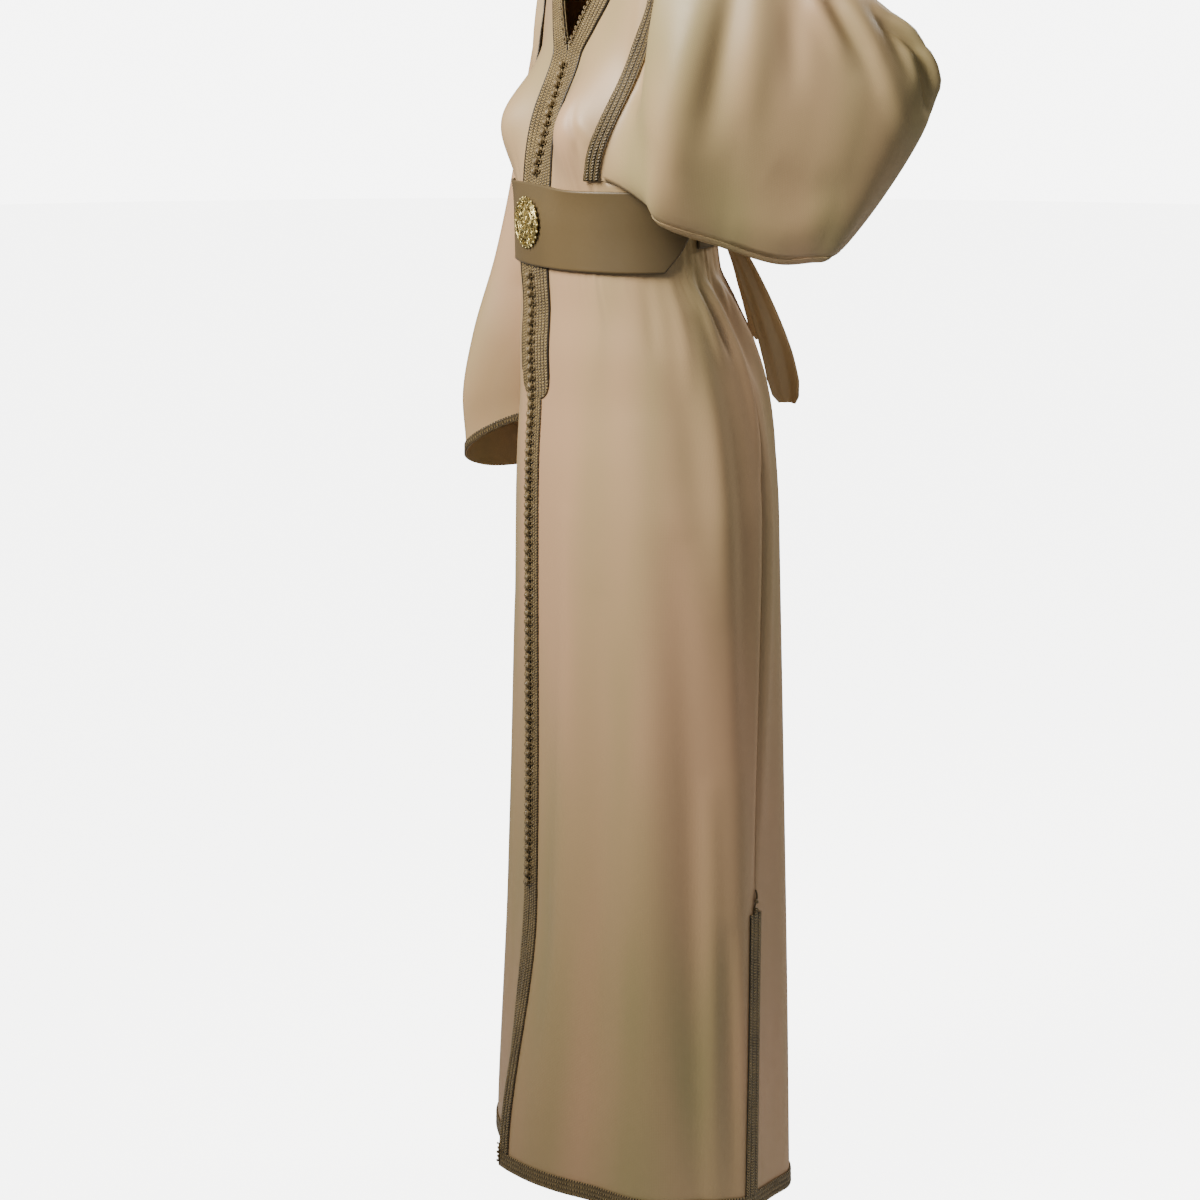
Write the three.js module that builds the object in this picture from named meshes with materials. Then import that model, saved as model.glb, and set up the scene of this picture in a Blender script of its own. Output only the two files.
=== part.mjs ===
// Long belted kaftan worn on a general figure: hollow cloth walls in millimetres, +Z up, front towards -Y.
// The wearer's left is +X. The origin is on the body's axis at shoulder level, where the garment is held up.
import * as THREE from "three";

// Lengths
const HEM_Z = -1374;
const NECK_SIDE_Z = 18;
const NECK_SIDE_X = 78;
const SHOULDER_SLOPE = 0.23;
const NECK_RISE = 0.12;
const BACK_NECK_DROP = 30;
const UNDERARM_Z = -258;
const ARMHOLE_DROP = 6;
const ROUND_FRONT = 130;
const ROUND_BACK = 90;
const NECK_V_Z = -140;
const CHEST = 38;
const SLIT_TOP_Z = -1040;
const BAND_END_Z = -495;
const LEFT_FLARE = 38;
const RIGHT_FLARE = 17;

// Cloth and trim
const CLOTH = 1.2;
const GAP = 0.3;
const BRAID = 1.6;
const HALF_GAP = 0.15;
const SLEEVE_LIFT = CLOTH + 0.7;

// Belt
const BELT_TOP_Z = -269;
const BELT_LOW_Z = -353;
const BELT_LIFT = 3.4;
const BELT_THICK = 2.4;
const BACK_BELT_TOP_Z = -286;
const BACK_BELT_LOW_Z = -330;
const BACK_BELT_LIFT = 2;
const BACK_BELT_THICK = 1.8;
const KNOT_ANGLE = 146;

// Buttons
const BUTTON_RADIUS = 3.7;
const BUTTON_CORD = 1.5;
const BUTTON_PITCH = 10;
const BUTTON_SIDES = 5;
const UPPER_BUTTON_LIFT = 7.1;
const LOWER_BUTTON_LIFT = 6;

// Brooch
const BROOCH_WIDE = 32;
const BROOCH_TALL = 27;
const BROOCH_DOME = 6.5;
const BROOCH_LOBES = 8;
const BROOCH_STEPS = 32;
const BROOCH_Z = -309;

const DEG = Math.PI / 180;

// Body sections by height: half width, half depth in front and behind, and the middle's place in depth
const SECTIONS = [
  { z: 30, wide: 173, front: 44, back: 88, mid: 0 },
  { z: 0, wide: 172, front: 44, back: 88, mid: 0 },
  { z: -60, wide: 165, front: 46, back: 94, mid: 0 },
  { z: -140, wide: 153, front: 56, back: 98, mid: 0 },
  { z: -205, wide: 147, front: 75, back: 94, mid: 0 },
  { z: -262, wide: 141, front: 90, back: 92, mid: 0 },
  { z: -311, wide: 139, front: 98, back: 95, mid: 0 },
  { z: -353, wide: 142, front: 98.5, back: 101, mid: 1 },
  { z: -398, wide: 152, front: 108, back: 108, mid: 13 },
  { z: -442, wide: 162, front: 119, back: 119, mid: 22 },
  { z: -504, wide: 172, front: 127, back: 127, mid: 31 },
  { z: -562, wide: 181, front: 133, back: 133, mid: 34 },
  { z: -620, wide: 189, front: 135, back: 135, mid: 35 },
  { z: -964, wide: 205, front: 140, back: 137, mid: 38 },
  { z: -1200, wide: 217, front: 144, back: 141, mid: 37 },
  { z: -1374, wide: 228, front: 147, back: 145, mid: 35 },
];

// Side seam: degrees round from the front
const SIDE_SEAM = [
  { z: -262, angle: 111 },
  { z: -353, angle: 117 },
  { z: -465, angle: 120 },
  { z: -620, angle: 117 },
  { z: -964, angle: 107 },
  { z: -1374, angle: 101 },
];

// Armhole edge from the shoulder (0) to the underarm (1): degrees round from the front
const ARMHOLE = [
  { down: 0, front: 74, back: 106 },
  { down: 0.3, front: 73.5, back: 111 },
  { down: 0.44, front: 67.5, back: 114 },
  { down: 0.6, front: 61.5, back: 118 },
  { down: 0.8, front: 57.5, back: 124 },
  { down: 1, front: 52, back: 129 },
];

// Front opening: half distance between the two edges by height
const OPENING = [
  { z: 30, half: 84 },
  { z: 18, half: 78 },
  { z: -20, half: 64 },
  { z: -77, half: 40 },
  { z: -110, half: 18 },
  { z: -140, half: 0.25 },
  { z: -1040, half: 0.25 },
  { z: -1180, half: 5 },
  { z: -1374, half: 13 },
];

// Standing folds of the skirt: degrees round from the front, spread in degrees, height and where it is full
const FOLDS = [
  { angle: 26, spread: 10, height: 4, top: -700 },
  { angle: 52, spread: 11, height: 5, top: -560 },
  { angle: 80, spread: 8, height: -5, top: -640 },
  { angle: 96, spread: 7, height: 6, top: -520 },
  { angle: 128, spread: 8, height: 9, top: -430 },
  { angle: 146, spread: 7, height: -8, top: -480 },
  { angle: 163, spread: 8, height: 10, top: -450 },
];

// Rows of the cloth grid: shoulder to underarm as fractions, then heights
const BODICE_ROWS = [0, 0.015, 0.05, 0.1, 0.17, 0.26, 0.36, 0.47, 0.61, 0.74, 0.87, 1];
const SKIRT_ROWS = [
  -258.3, -258.9, -260, -261.7, -264, -308, -353, -376, -400, -428, -460, BAND_END_Z, -545, -600, -670, -750,
  -850, -950, SLIT_TOP_Z, -1110, -1180, -1245, -1305, -1356, HEM_Z,
];
const UNDERARM_ROWS = 5;

// Distances from an edge where the cloth grid has columns
const INNER_COLUMNS = [0, 9, 18, 27, 36];
const OUTER_COLUMNS = [19, 10, 3, 0];
const FRONT_MIDDLE = 8;
const BACK_MIDDLE = 14;

// Left sleeve rings: top point, low point, half width outside and inside, and the way the outside faces
const LEFT_SLEEVE = [
  {
    topX: 183, topY: 8.5, topZ: -6.5, lowX: 165.5, lowY: -10.5, lowZ: -288.7,
    out: 50.5, inn: 52.5, face: -80, back: 100, sag: 1.4,
  },
  {
    topX: 206, topY: 38, topZ: -16, lowX: 174, lowY: -26, lowZ: -298,
    out: 56, inn: 46, face: -58, back: 128, sag: 0.5,
  },
  { topX: 232, topY: 86, topZ: -36, lowX: 200, lowY: 30, lowZ: -322, out: 50, inn: 26, face: -36, back: 146 },
  { topX: 258, topY: 134, topZ: -58, lowX: 222, lowY: 84, lowZ: -339, out: 44, inn: 15, face: -30, back: 150 },
  { topX: 278, topY: 170, topZ: -86, lowX: 236, lowY: 112, lowZ: -337, out: 36, inn: 10, face: -14, back: 166 },
  { topX: 293, topY: 198, topZ: -116, lowX: 242, lowY: 126, lowZ: -335, out: 28, inn: 9, face: 20, back: 200 },
  { topX: 294, topY: 214, topZ: -150, lowX: 238, lowY: 132, lowZ: -328, out: 22, inn: 9, face: 62, back: 242 },
  { topX: 270, topY: 216, topZ: -184, lowX: 228, lowY: 144, lowZ: -330, out: 22, inn: 11, face: 98, back: 278 },
  { topX: 234, topY: 204, topZ: -214, lowX: 206, lowY: 150, lowZ: -336, out: 27, inn: 14, face: 110, back: 290 },
  { topX: 194, topY: 186, topZ: -244, lowX: 180, lowY: 150, lowZ: -342, out: 31, inn: 18, face: 114, back: 294 },
  { topX: 163, topY: 170, topZ: -266, lowX: 155, lowY: 146, lowZ: -342, out: 33, inn: 24, face: 114, back: 294 },
  { topX: 152, topY: 165, topZ: -273, lowX: 145, lowY: 142, lowZ: -341, out: 33, inn: 24, face: 114, back: 294 },
];

// Right sleeve rings, on the wearer's hanging arm
const RIGHT_SLEEVE = [
  {
    topX: -183, topY: 16, topZ: -10, lowX: -163, lowY: -8, lowZ: -282,
    out: 34, inn: 52, face: -100, back: 80, sag: 1.2,
  },
  { topX: -202, topY: 14, topZ: -36, lowX: -172, lowY: 0, lowZ: -300, out: 32, inn: 72, face: -92, back: 88 },
  { topX: -226, topY: 8, topZ: -130, lowX: -178, lowY: 4, lowZ: -336, out: 34, inn: 78, face: -92, back: 88 },
  { topX: -244, topY: 2, topZ: -240, lowX: -184, lowY: 6, lowZ: -380, out: 40, inn: 86, face: -92, back: 88 },
  { topX: -258, topY: -4, topZ: -350, lowX: -193, lowY: 6, lowZ: -428, out: 55, inn: 96, face: -92, back: 88 },
  { topX: -268, topY: -12, topZ: -450, lowX: -201, lowY: 2, lowZ: -474, out: 74, inn: 106, face: -92, back: 88 },
  { topX: -275, topY: -18, topZ: -540, lowX: -207, lowY: -4, lowZ: -512, out: 80, inn: 110, face: -92, back: 88 },
  { topX: -278, topY: -24, topZ: -612, lowX: -210, lowY: -12, lowZ: -546, out: 68, inn: 112, face: -92, back: 88 },
  { topX: -278, topY: -26, topZ: -623, lowX: -210, lowY: -14, lowZ: -556, out: 66, inn: 112, face: -92, back: 88 },
];

// Belt panel ends by height: degrees round from the front
const BELT_ENDS = [
  { z: -269, angle: 98 },
  { z: -284, angle: 103 },
  { z: -300, angle: 105 },
  { z: -325, angle: 98 },
  { z: -353, angle: 84 },
];

// Hanging ends of the sash: middle line and width
const LONG_END = [
  { x: 86, y: 93, z: -325.4, wide: 13 },
  { x: 88, y: 104, z: -345, wide: 20 },
  { x: 87, y: 124, z: -385, wide: 28 },
  { x: 84, y: 140, z: -420, wide: 32 },
  { x: 81, y: 153, z: -452, wide: 35 },
  { x: 79, y: 162, z: -482, wide: 36 },
  { x: 78, y: 166, z: -500, wide: 30 },
  { x: 78, y: 168, z: -508, wide: 18 },
];
const SHORT_END = [
  { x: 74.3, y: 94.2, z: -326, wide: 10 },
  { x: 65, y: 112, z: -346, wide: 18 },
  { x: 55, y: 130, z: -378, wide: 25 },
  { x: 50, y: 143, z: -408, wide: 27 },
  { x: 47, y: 150, z: -432, wide: 24 },
  { x: 46, y: 153, z: -442, wide: 15 },
];
const SASH = 1.8;

// Smooth value between the rows of a table, without overshoot
function along(table, key, at, column) {
  const sign = table[table.length - 1][key] > table[0][key] ? 1 : -1;
  const count = table.length;
  if ((at - table[0][key]) * sign <= 0) {
    return table[0][column];
  }
  if ((at - table[count - 1][key]) * sign >= 0) {
    return table[count - 1][column];
  }
  let row = 0;
  while ((at - table[row + 1][key]) * sign > 0) {
    row += 1;
  }
  const step = (i) => table[i + 1][key] - table[i][key];
  const rise = (i) => (table[i + 1][column] - table[i][column]) / step(i);
  const slope = (i) => {
    if (i === 0) {
      return rise(0);
    }
    if (i === count - 1) {
      return rise(count - 2);
    }
    const before = rise(i - 1);
    const after = rise(i);
    return before * after <= 0 ? 0 : (2 * before * after) / (before + after);
  };
  const span = step(row);
  const t = (at - table[row][key]) / span;
  const a = table[row][column];
  const b = table[row + 1][column];
  const ease = t * t * (3 - 2 * t);
  const leave = t * (1 - t) * (1 - t) * span * slope(row);
  const arrive = t * t * (t - 1) * span * slope(row + 1);
  return a + (b - a) * ease + leave + arrive;
}

function smooth(from, to, at) {
  const t = Math.min(1, Math.max(0, (at - from) / (to - from)));
  return t * t * (3 - 2 * t);
}

function section(z, column) {
  return along(SECTIONS, "z", z, column);
}

// Height of the shoulder line above a place across the body
function shoulderZ(x) {
  const across = Math.abs(x);
  const slope = across > NECK_SIDE_X ? SHOULDER_SLOPE : NECK_RISE;
  return NECK_SIDE_Z - (across - NECK_SIDE_X) * slope;
}

// Outward fold of the skirt at an angle round the body
function foldAt(angle, z) {
  const around = Math.abs(angle);
  let out = 0;
  for (const fold of FOLDS) {
    const away = (around - fold.angle) / fold.spread;
    const full = smooth(fold.top + 60, HEM_Z + 150, z);
    out += fold.height * full * Math.exp(-away * away);
  }
  return out;
}

// Point of the body surface: angle in degrees from the front, row down from the shoulder
function surface(angle, row) {
  const turn = angle * DEG;
  const behind = Math.abs(angle) > 90;
  if (row <= 1) {
    const levelZ = NECK_SIDE_Z + (UNDERARM_Z - NECK_SIDE_Z) * row;
    const x = section(levelZ, "wide") * Math.sin(turn);
    const neck = Math.max(0, 1 - (x / NECK_SIDE_X) * (x / NECK_SIDE_X));
    const drop = behind ? BACK_NECK_DROP * neck : 0;
    const z = (shoulderZ(x) - drop) * (1 - row) + UNDERARM_Z * row;
    const rounding = behind ? ROUND_BACK : ROUND_FRONT;
    const left = 1 - Math.min(1, Math.max(0, (shoulderZ(x) - z) / rounding));
    const fullness = Math.sqrt(Math.max(0, 1 - left * left));
    const depth = section(levelZ, behind ? "back" : "front");
    const side = (Math.abs(x) - 84) / 42;
    const low = (levelZ + 205) / 55;
    const chest = behind ? 0 : CHEST * Math.exp(-side * side - low * low);
    const y = -depth * fullness * Math.cos(turn) - chest;
    return new THREE.Vector3(x, y, z);
  }
  const z = UNDERARM_Z - (row - 1) * 1000;
  const depth = section(z, behind ? "back" : "front");
  const fold = foldAt(angle, z);
  const side = (Math.abs(section(z, "wide") * Math.sin(turn)) - 84) / 42;
  const low = (z + 205) / 55;
  const chest = behind ? 0 : CHEST * Math.exp(-side * side - low * low);
  const reach = angle > 0 ? LEFT_FLARE : RIGHT_FLARE;
  const flare = smooth(-1060, HEM_Z, z) * reach * Math.exp(-((angle / 26) ** 2));
  const x = (section(z, "wide") + fold) * Math.sin(turn);
  const y = section(z, "mid") - (depth + fold) * Math.cos(turn) - chest - flare;
  return new THREE.Vector3(x, y, z);
}

// Outward normal of the body surface
function outward(angle, row) {
  const small = 0.3;
  const ahead = surface(angle + small, row).sub(surface(angle - small, row));
  const down = surface(angle, row + 0.0008).sub(surface(angle, Math.max(0, row - 0.0008)));
  return ahead.cross(down).normalize().negate();
}

function rowOf(z) {
  return 1 + (UNDERARM_Z - z) / 1000;
}

function heightOf(row) {
  return row <= 1 ? NECK_SIDE_Z + (UNDERARM_Z - NECK_SIDE_Z) * row : UNDERARM_Z - (row - 1) * 1000;
}

const ROWS = BODICE_ROWS.concat(SKIRT_ROWS.map(rowOf));
const rowAt = (z) => ROWS.findIndex((row) => Math.abs(heightOf(row) - z) < 0.01);
const LAST_BODICE = BODICE_ROWS.length - 1;
const UNDERARM_ROW = LAST_BODICE + UNDERARM_ROWS;

// Angle of a panel's outer edge: the armhole above, the side seam below
function outerEdge(row, which) {
  const seam = along(SIDE_SEAM, "z", heightOf(row), "angle");
  if (row <= 1) {
    return along(ARMHOLE, "down", row, which);
  }
  const t = Math.min(1, ((row - 1) * 1000) / ARMHOLE_DROP);
  const reach = Math.sqrt(1 - (1 - t) * (1 - t));
  const start = along(ARMHOLE, "down", 1, which);
  return start + (seam - start) * reach;
}

// Degrees that make a distance along the body at a place
function degreesFor(distance, angle, row) {
  const step = surface(angle + 0.5, row).distanceTo(surface(angle - 0.5, row));
  return distance / Math.max(step, 0.4);
}

function columnAngles(row, from, to, middle, innerColumns, outerColumns) {
  const angles = [];
  let angle = from;
  let last = 0;
  for (const distance of innerColumns) {
    angle += degreesFor(distance - last, angle + 2, row);
    last = distance;
    angles.push(angle);
  }
  const tail = [];
  let back = to;
  last = 0;
  for (const distance of [...outerColumns].reverse()) {
    back -= degreesFor(distance - last, back - 2, row);
    last = distance;
    tail.unshift(back);
  }
  const start = angles[angles.length - 1];
  for (let i = 1; i <= middle; i += 1) {
    angles.push(start + ((tail[0] - start) * i) / (middle + 1));
  }
  return angles.concat(tail);
}

// A grid of points and normals, side 1 for the wearer's left and -1 for the right
function frontGrid(side) {
  return ROWS.map((row) => {
    const half = along(OPENING, "z", heightOf(row), "half");
    const wide = section(heightOf(row), "wide");
    const from = Math.asin(Math.min(1, half / wide)) / DEG;
    const gapAngle = degreesFor(HALF_GAP, 90, row);
    const to = outerEdge(row, "front") - (row > 1 ? gapAngle : 0);
    return columnAngles(row, from, to, FRONT_MIDDLE, INNER_COLUMNS, OUTER_COLUMNS).map((angle) => {
      const point = surface(side * angle, row);
      if (row === 0) {
        point.y -= HALF_GAP;
      }
      return { point, normal: outward(side * angle, row) };
    });
  });
}

function backGrid() {
  return ROWS.map((row) => {
    const gapAngle = degreesFor(HALF_GAP, 90, row);
    const edge = outerEdge(row, "back") + (row > 1 ? gapAngle : 0);
    const edges = [...OUTER_COLUMNS].reverse();
    const angles = columnAngles(row, edge, 360 - edge, BACK_MIDDLE, edges, OUTER_COLUMNS);
    return angles.map((angle) => {
      const point = surface(angle > 180 ? angle - 360 : angle, row);
      const normal = outward(angle > 180 ? angle - 360 : angle, row);
      if (row === 0 && Math.abs(point.x) >= NECK_SIDE_X - 1) {
        point.y += HALF_GAP;
      }
      return { point, normal };
    });
  });
}

function cutGrid(grid, rowFrom, rowTo, columnFrom, columnTo) {
  return grid.slice(rowFrom, rowTo + 1).map((line) => line.slice(columnFrom, columnTo + 1));
}

// Closed wall between two offsets of a grid; a wrapped grid joins its last column to the first
function wall(grid, inner, outer, wrap = false) {
  const rows = grid.length;
  const columns = grid[0].length;
  const positions = [];
  for (const lift of [outer, inner]) {
    for (const line of grid) {
      for (const { point, normal } of line) {
        positions.push(point.x + normal.x * lift, point.y + normal.y * lift, point.z + normal.z * lift);
      }
    }
  }
  const index = (layer, r, c) => (layer * rows + r) * columns + (c % columns);
  const faces = [];
  const quad = (a, b, c, d) => faces.push(a, b, c, a, c, d);
  const lastColumn = wrap ? columns : columns - 1;
  for (let r = 0; r < rows - 1; r += 1) {
    for (let c = 0; c < lastColumn; c += 1) {
      quad(index(0, r, c), index(0, r + 1, c), index(0, r + 1, c + 1), index(0, r, c + 1));
      quad(index(1, r, c), index(1, r, c + 1), index(1, r + 1, c + 1), index(1, r + 1, c));
    }
  }
  for (let c = 0; c < lastColumn; c += 1) {
    quad(index(0, 0, c), index(0, 0, c + 1), index(1, 0, c + 1), index(1, 0, c));
    quad(index(0, rows - 1, c), index(1, rows - 1, c), index(1, rows - 1, c + 1), index(0, rows - 1, c + 1));
  }
  if (!wrap) {
    for (let r = 0; r < rows - 1; r += 1) {
      quad(index(0, r, 0), index(1, r, 0), index(1, r + 1, 0), index(0, r + 1, 0));
      const c = columns - 1;
      quad(index(0, r, c), index(0, r + 1, c), index(1, r + 1, c), index(1, r, c));
    }
  }
  return closed(positions, faces);
}

// Geometry with outward faces
function closed(positions, faces) {
  let volume = 0;
  const at = (i) => new THREE.Vector3(positions[3 * i], positions[3 * i + 1], positions[3 * i + 2]);
  for (let i = 0; i < faces.length; i += 3) {
    volume += at(faces[i]).dot(at(faces[i + 1]).cross(at(faces[i + 2]))) / 6;
  }
  const ordered = [];
  for (let i = 0; i < faces.length; i += 3) {
    if (volume > 0) {
      ordered.push(faces[i], faces[i + 1], faces[i + 2]);
    } else {
      ordered.push(faces[i], faces[i + 2], faces[i + 1]);
    }
  }
  const geometry = new THREE.BufferGeometry();
  geometry.setAttribute("position", new THREE.Float32BufferAttribute(positions, 3));
  geometry.setIndex(ordered);
  return geometry;
}

// Normals of a wrapped grid of points, facing away from each ring's middle
function ringGrid(rings) {
  const rows = rings.length;
  const columns = rings[0].length;
  const middle = rings.map((ring) => {
    const sum = new THREE.Vector3();
    ring.forEach((point) => sum.add(point));
    return sum.divideScalar(columns);
  });
  return rings.map((ring, r) =>
    ring.map((point, c) => {
      const next = ring[(c + 1) % columns];
      const before = ring[(c + columns - 1) % columns];
      const around = next.clone().sub(before);
      const ahead = rings[Math.min(rows - 1, r + 1)][c].clone().sub(rings[Math.max(0, r - 1)][c]);
      const normal = around.cross(ahead).normalize();
      if (normal.dot(point.clone().sub(middle[r])) < 0) {
        normal.negate();
      }
      return { point, normal };
    })
  );
}

// Ring between a top and a low point, narrower towards the low one; "face" and "back" are its two bulges' ways.
// "sag" fills both near the low point, where the cloth falls from the wide bottom of the armhole
function sleeveRing(ring, downs) {
  const top = new THREE.Vector3(ring.topX, ring.topY, ring.topZ);
  const low = new THREE.Vector3(ring.lowX, ring.lowY, ring.lowZ);
  const face = new THREE.Vector3(Math.cos(ring.face * DEG), Math.sin(ring.face * DEG), 0);
  const back = new THREE.Vector3(Math.cos(ring.back * DEG), Math.sin(ring.back * DEG), 0);
  return downs.map((down, i) => {
    const outside = i <= UNDERARM_ROW;
    const taper = 1 - 0.4 * down ** 2 + (ring.sag ?? 0) * down ** 6;
    const bulge = 2 * Math.sqrt(down * (1 - down)) * taper;
    const width = bulge * (outside ? ring.out : ring.inn);
    return top.clone().lerp(low, down).addScaledVector(outside ? face : back, width);
  });
}

// First two rings of a sleeve lie on the front and back panels round the armhole
function armholeRings(front, back, side) {
  const columns = front[0].length;
  const backColumns = back[0].length;
  const lapped = [];
  const edged = [];
  const place = (cell) => cell.point.clone().addScaledVector(cell.normal, SLEEVE_LIFT);
  const backCell = (r, inset) => (side > 0 ? back[r][inset] : back[r][backColumns - 1 - inset]);
  for (let r = 0; r <= UNDERARM_ROW; r += 1) {
    lapped.push(place(front[r][columns - 3]));
    edged.push(place(front[r][columns - 1]));
  }
  for (let r = UNDERARM_ROW; r > 0; r -= 1) {
    lapped.push(place(backCell(r, 2)));
    edged.push(place(backCell(r, 0)));
  }
  return [lapped, edged];
}

function sleeveGrid(front, back, side, table) {
  const [lapped, edged] = armholeRings(front, back, side);
  const topZ = edged[0].z;
  const lowZ = edged[UNDERARM_ROW].z;
  const downs = edged.map((point) => Math.min(1, Math.max(0, (topZ - point.z) / (topZ - lowZ))));
  const rings = table.map((ring) => sleeveRing(ring, downs));
  return ringGrid([lapped, edged].concat(rings));
}

// Row of round knotted buttons strung close on one cord
function buttonRow(fromZ, toZ, lift) {
  const rings = [];
  const count = Math.round((fromZ - toZ) / BUTTON_PITCH);
  for (let i = 0; i < count; i += 1) {
    const topZ = fromZ - i * BUTTON_PITCH;
    const levels = [
      { at: 0, radius: BUTTON_CORD },
      { at: BUTTON_PITCH / 2, radius: BUTTON_RADIUS },
    ];
    for (const level of levels) {
      rings.push({ z: topZ - level.at, radius: level.radius });
    }
  }
  rings.push({ z: fromZ - count * BUTTON_PITCH, radius: BUTTON_CORD });
  const positions = [];
  const faces = [];
  for (const ring of rings) {
    const row = rowOfHeight(ring.z);
    const centre = surface(0, row);
    centre.y -= lift / Math.abs(outward(0, row).y);
    for (let s = 0; s < BUTTON_SIDES; s += 1) {
      const turn = (2 * Math.PI * s) / BUTTON_SIDES + Math.PI / 2;
      positions.push(centre.x + ring.radius * Math.cos(turn), centre.y - ring.radius * Math.sin(turn), ring.z);
    }
  }
  for (let r = 0; r < rings.length - 1; r += 1) {
    for (let s = 0; s < BUTTON_SIDES; s += 1) {
      const next = (s + 1) % BUTTON_SIDES;
      const a = r * BUTTON_SIDES + s;
      const b = r * BUTTON_SIDES + next;
      faces.push(a, b, b + BUTTON_SIDES, a, b + BUTTON_SIDES, a + BUTTON_SIDES);
    }
  }
  const end = (rings.length - 1) * BUTTON_SIDES;
  for (let s = 1; s < BUTTON_SIDES - 1; s += 1) {
    faces.push(0, s + 1, s, end, end + s, end + s + 1);
  }
  return closed(positions, faces);
}

function rowOfHeight(z) {
  return z > UNDERARM_Z ? (NECK_SIDE_Z - z) / (NECK_SIDE_Z - UNDERARM_Z) : rowOf(z);
}

// Belt strip on the body between two angles that may change with height
function beltGrid(topZ, lowZ, rows, columns, fromAngle, toAngle) {
  const grid = [];
  for (let r = 0; r <= rows; r += 1) {
    const z = topZ + ((lowZ - topZ) * r) / rows;
    const from = fromAngle(z);
    const to = toAngle(z);
    const line = [];
    for (let c = 0; c <= columns; c += 1) {
      const turn = from + ((to - from) * c) / columns;
      const angle = turn > 180 ? turn - 360 : turn;
      line.push({ point: surface(angle, rowOf(z)), normal: outward(angle, rowOf(z)) });
    }
    grid.push(line);
  }
  return grid;
}

// Domed oval medallion with shallow lobes, its flat back on the belt
function broochSolid() {
  const centre = surface(0, rowOf(BROOCH_Z));
  const base = centre.y - BELT_LIFT - BELT_THICK - 0.4;
  const levels = [
    { share: 1, out: 0 },
    { share: 1, out: 1.4 },
    { share: 0.9, out: 2.4 },
    { share: 0.74, out: 2.6 },
    { share: 0.62, out: 4.4 },
    { share: 0.34, out: 5.9 },
  ];
  const positions = [];
  const faces = [];
  for (const level of levels) {
    for (let s = 0; s < BROOCH_STEPS; s += 1) {
      const turn = (2 * Math.PI * s) / BROOCH_STEPS;
      const lobe = 1 + 0.035 * Math.cos(BROOCH_LOBES * turn) * (level.share > 0.8 ? 1 : 0);
      const x = centre.x + BROOCH_WIDE * level.share * lobe * Math.cos(turn);
      const z = BROOCH_Z + BROOCH_TALL * level.share * lobe * Math.sin(turn);
      positions.push(x, base - level.out, z);
    }
  }
  const top = positions.length / 3;
  positions.push(centre.x, base - BROOCH_DOME, BROOCH_Z, centre.x, base, BROOCH_Z);
  for (let s = 0; s < BROOCH_STEPS; s += 1) {
    const next = (s + 1) % BROOCH_STEPS;
    for (let k = 0; k < levels.length - 1; k += 1) {
      const a = k * BROOCH_STEPS;
      const b = a + BROOCH_STEPS;
      faces.push(a + s, a + next, b + next, a + s, b + next, b + s);
    }
    const rim = (levels.length - 1) * BROOCH_STEPS;
    faces.push(rim + s, rim + next, top, next, s, top + 1);
  }
  return closed(positions, faces);
}

// Sash end hanging on its own line, its width across the line
function sashEnd(table) {
  const points = table.map((row) => new THREE.Vector3(row.x, row.y, row.z));
  const across = new THREE.Vector3(0.66, 0.75, 0).normalize();
  const grid = table.map((row, r) => {
    const ahead = points[Math.min(r + 1, table.length - 1)].clone().sub(points[Math.max(0, r - 1)]);
    const normal = across.clone().cross(ahead).normalize();
    return [-0.5, -0.2, 0.2, 0.5].map((share) => {
      const cup = 5 * (0.25 - share * share);
      const point = points[r].clone().addScaledVector(across, share * row.wide);
      return { point: point.addScaledVector(normal, cup * 4 * 0.6), normal };
    });
  });
  return wall(grid, -SASH / 2, SASH / 2);
}

// Soft knot outside the back belt
function knotSolid() {
  const row = rowOf(-309);
  const normal = outward(KNOT_ANGLE, row);
  const lift = BACK_BELT_LIFT + BACK_BELT_THICK + GAP + 8.2;
  const centre = surface(KNOT_ANGLE, row).addScaledVector(normal, lift);
  const sphere = new THREE.SphereGeometry(1, 12, 8);
  const across = new THREE.Vector3(0, 0, 1).cross(normal).normalize();
  const source = sphere.getAttribute("position");
  const positions = [];
  const seen = new Map();
  const link = [];
  for (let i = 0; i < source.count; i += 1) {
    const spot = new THREE.Vector3().fromBufferAttribute(source, i);
    const key = [spot.x, spot.y, spot.z].map((value) => Math.round(value * 1e4)).join();
    if (!seen.has(key)) {
      seen.set(key, positions.length / 3);
      const pinch = 1 - 0.22 * Math.exp(-spot.x * spot.x * 9);
      const point = centre.clone().addScaledVector(across, spot.x * 19);
      point.addScaledVector(normal, spot.z * 10 * pinch);
      point.z += spot.y * 20 * pinch;
      positions.push(point.x, point.y, point.z);
    }
    link.push(seen.get(key));
  }
  const faces = [];
  const index = sphere.getIndex();
  for (let i = 0; i < index.count; i += 3) {
    const a = link[index.getX(i)];
    const b = link[index.getX(i + 1)];
    const c = link[index.getX(i + 2)];
    if (a !== b && b !== c && a !== c) {
      faces.push(a, b, c);
    }
  }
  return closed(positions, faces);
}

const group = new THREE.Group();

function add(name, geometry, colour) {
  const mesh = new THREE.Mesh(geometry, new THREE.MeshStandardMaterial({ color: colour, name }));
  mesh.name = name;
  group.add(mesh);
}

const SATIN = 0xd8bf98;
const BRAID_COLOUR = 0x8c7a4e;
const BELT_COLOUR = 0x82704e;
const BUTTON_COLOUR = 0x9a8552;
const METAL = 0xdccd82;

const half = CLOTH / 2;
const onCloth = half + GAP;
const left = frontGrid(1);
const right = frontGrid(-1);
const back = backGrid();
const frontColumns = left[0].length;
const backColumns = back[0].length;

// Cloth panels
add("front_left", wall(left, -half, half), SATIN);
add("front_right", wall(right, -half, half), SATIN);
add("back", wall(back, -half, half), SATIN);

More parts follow.
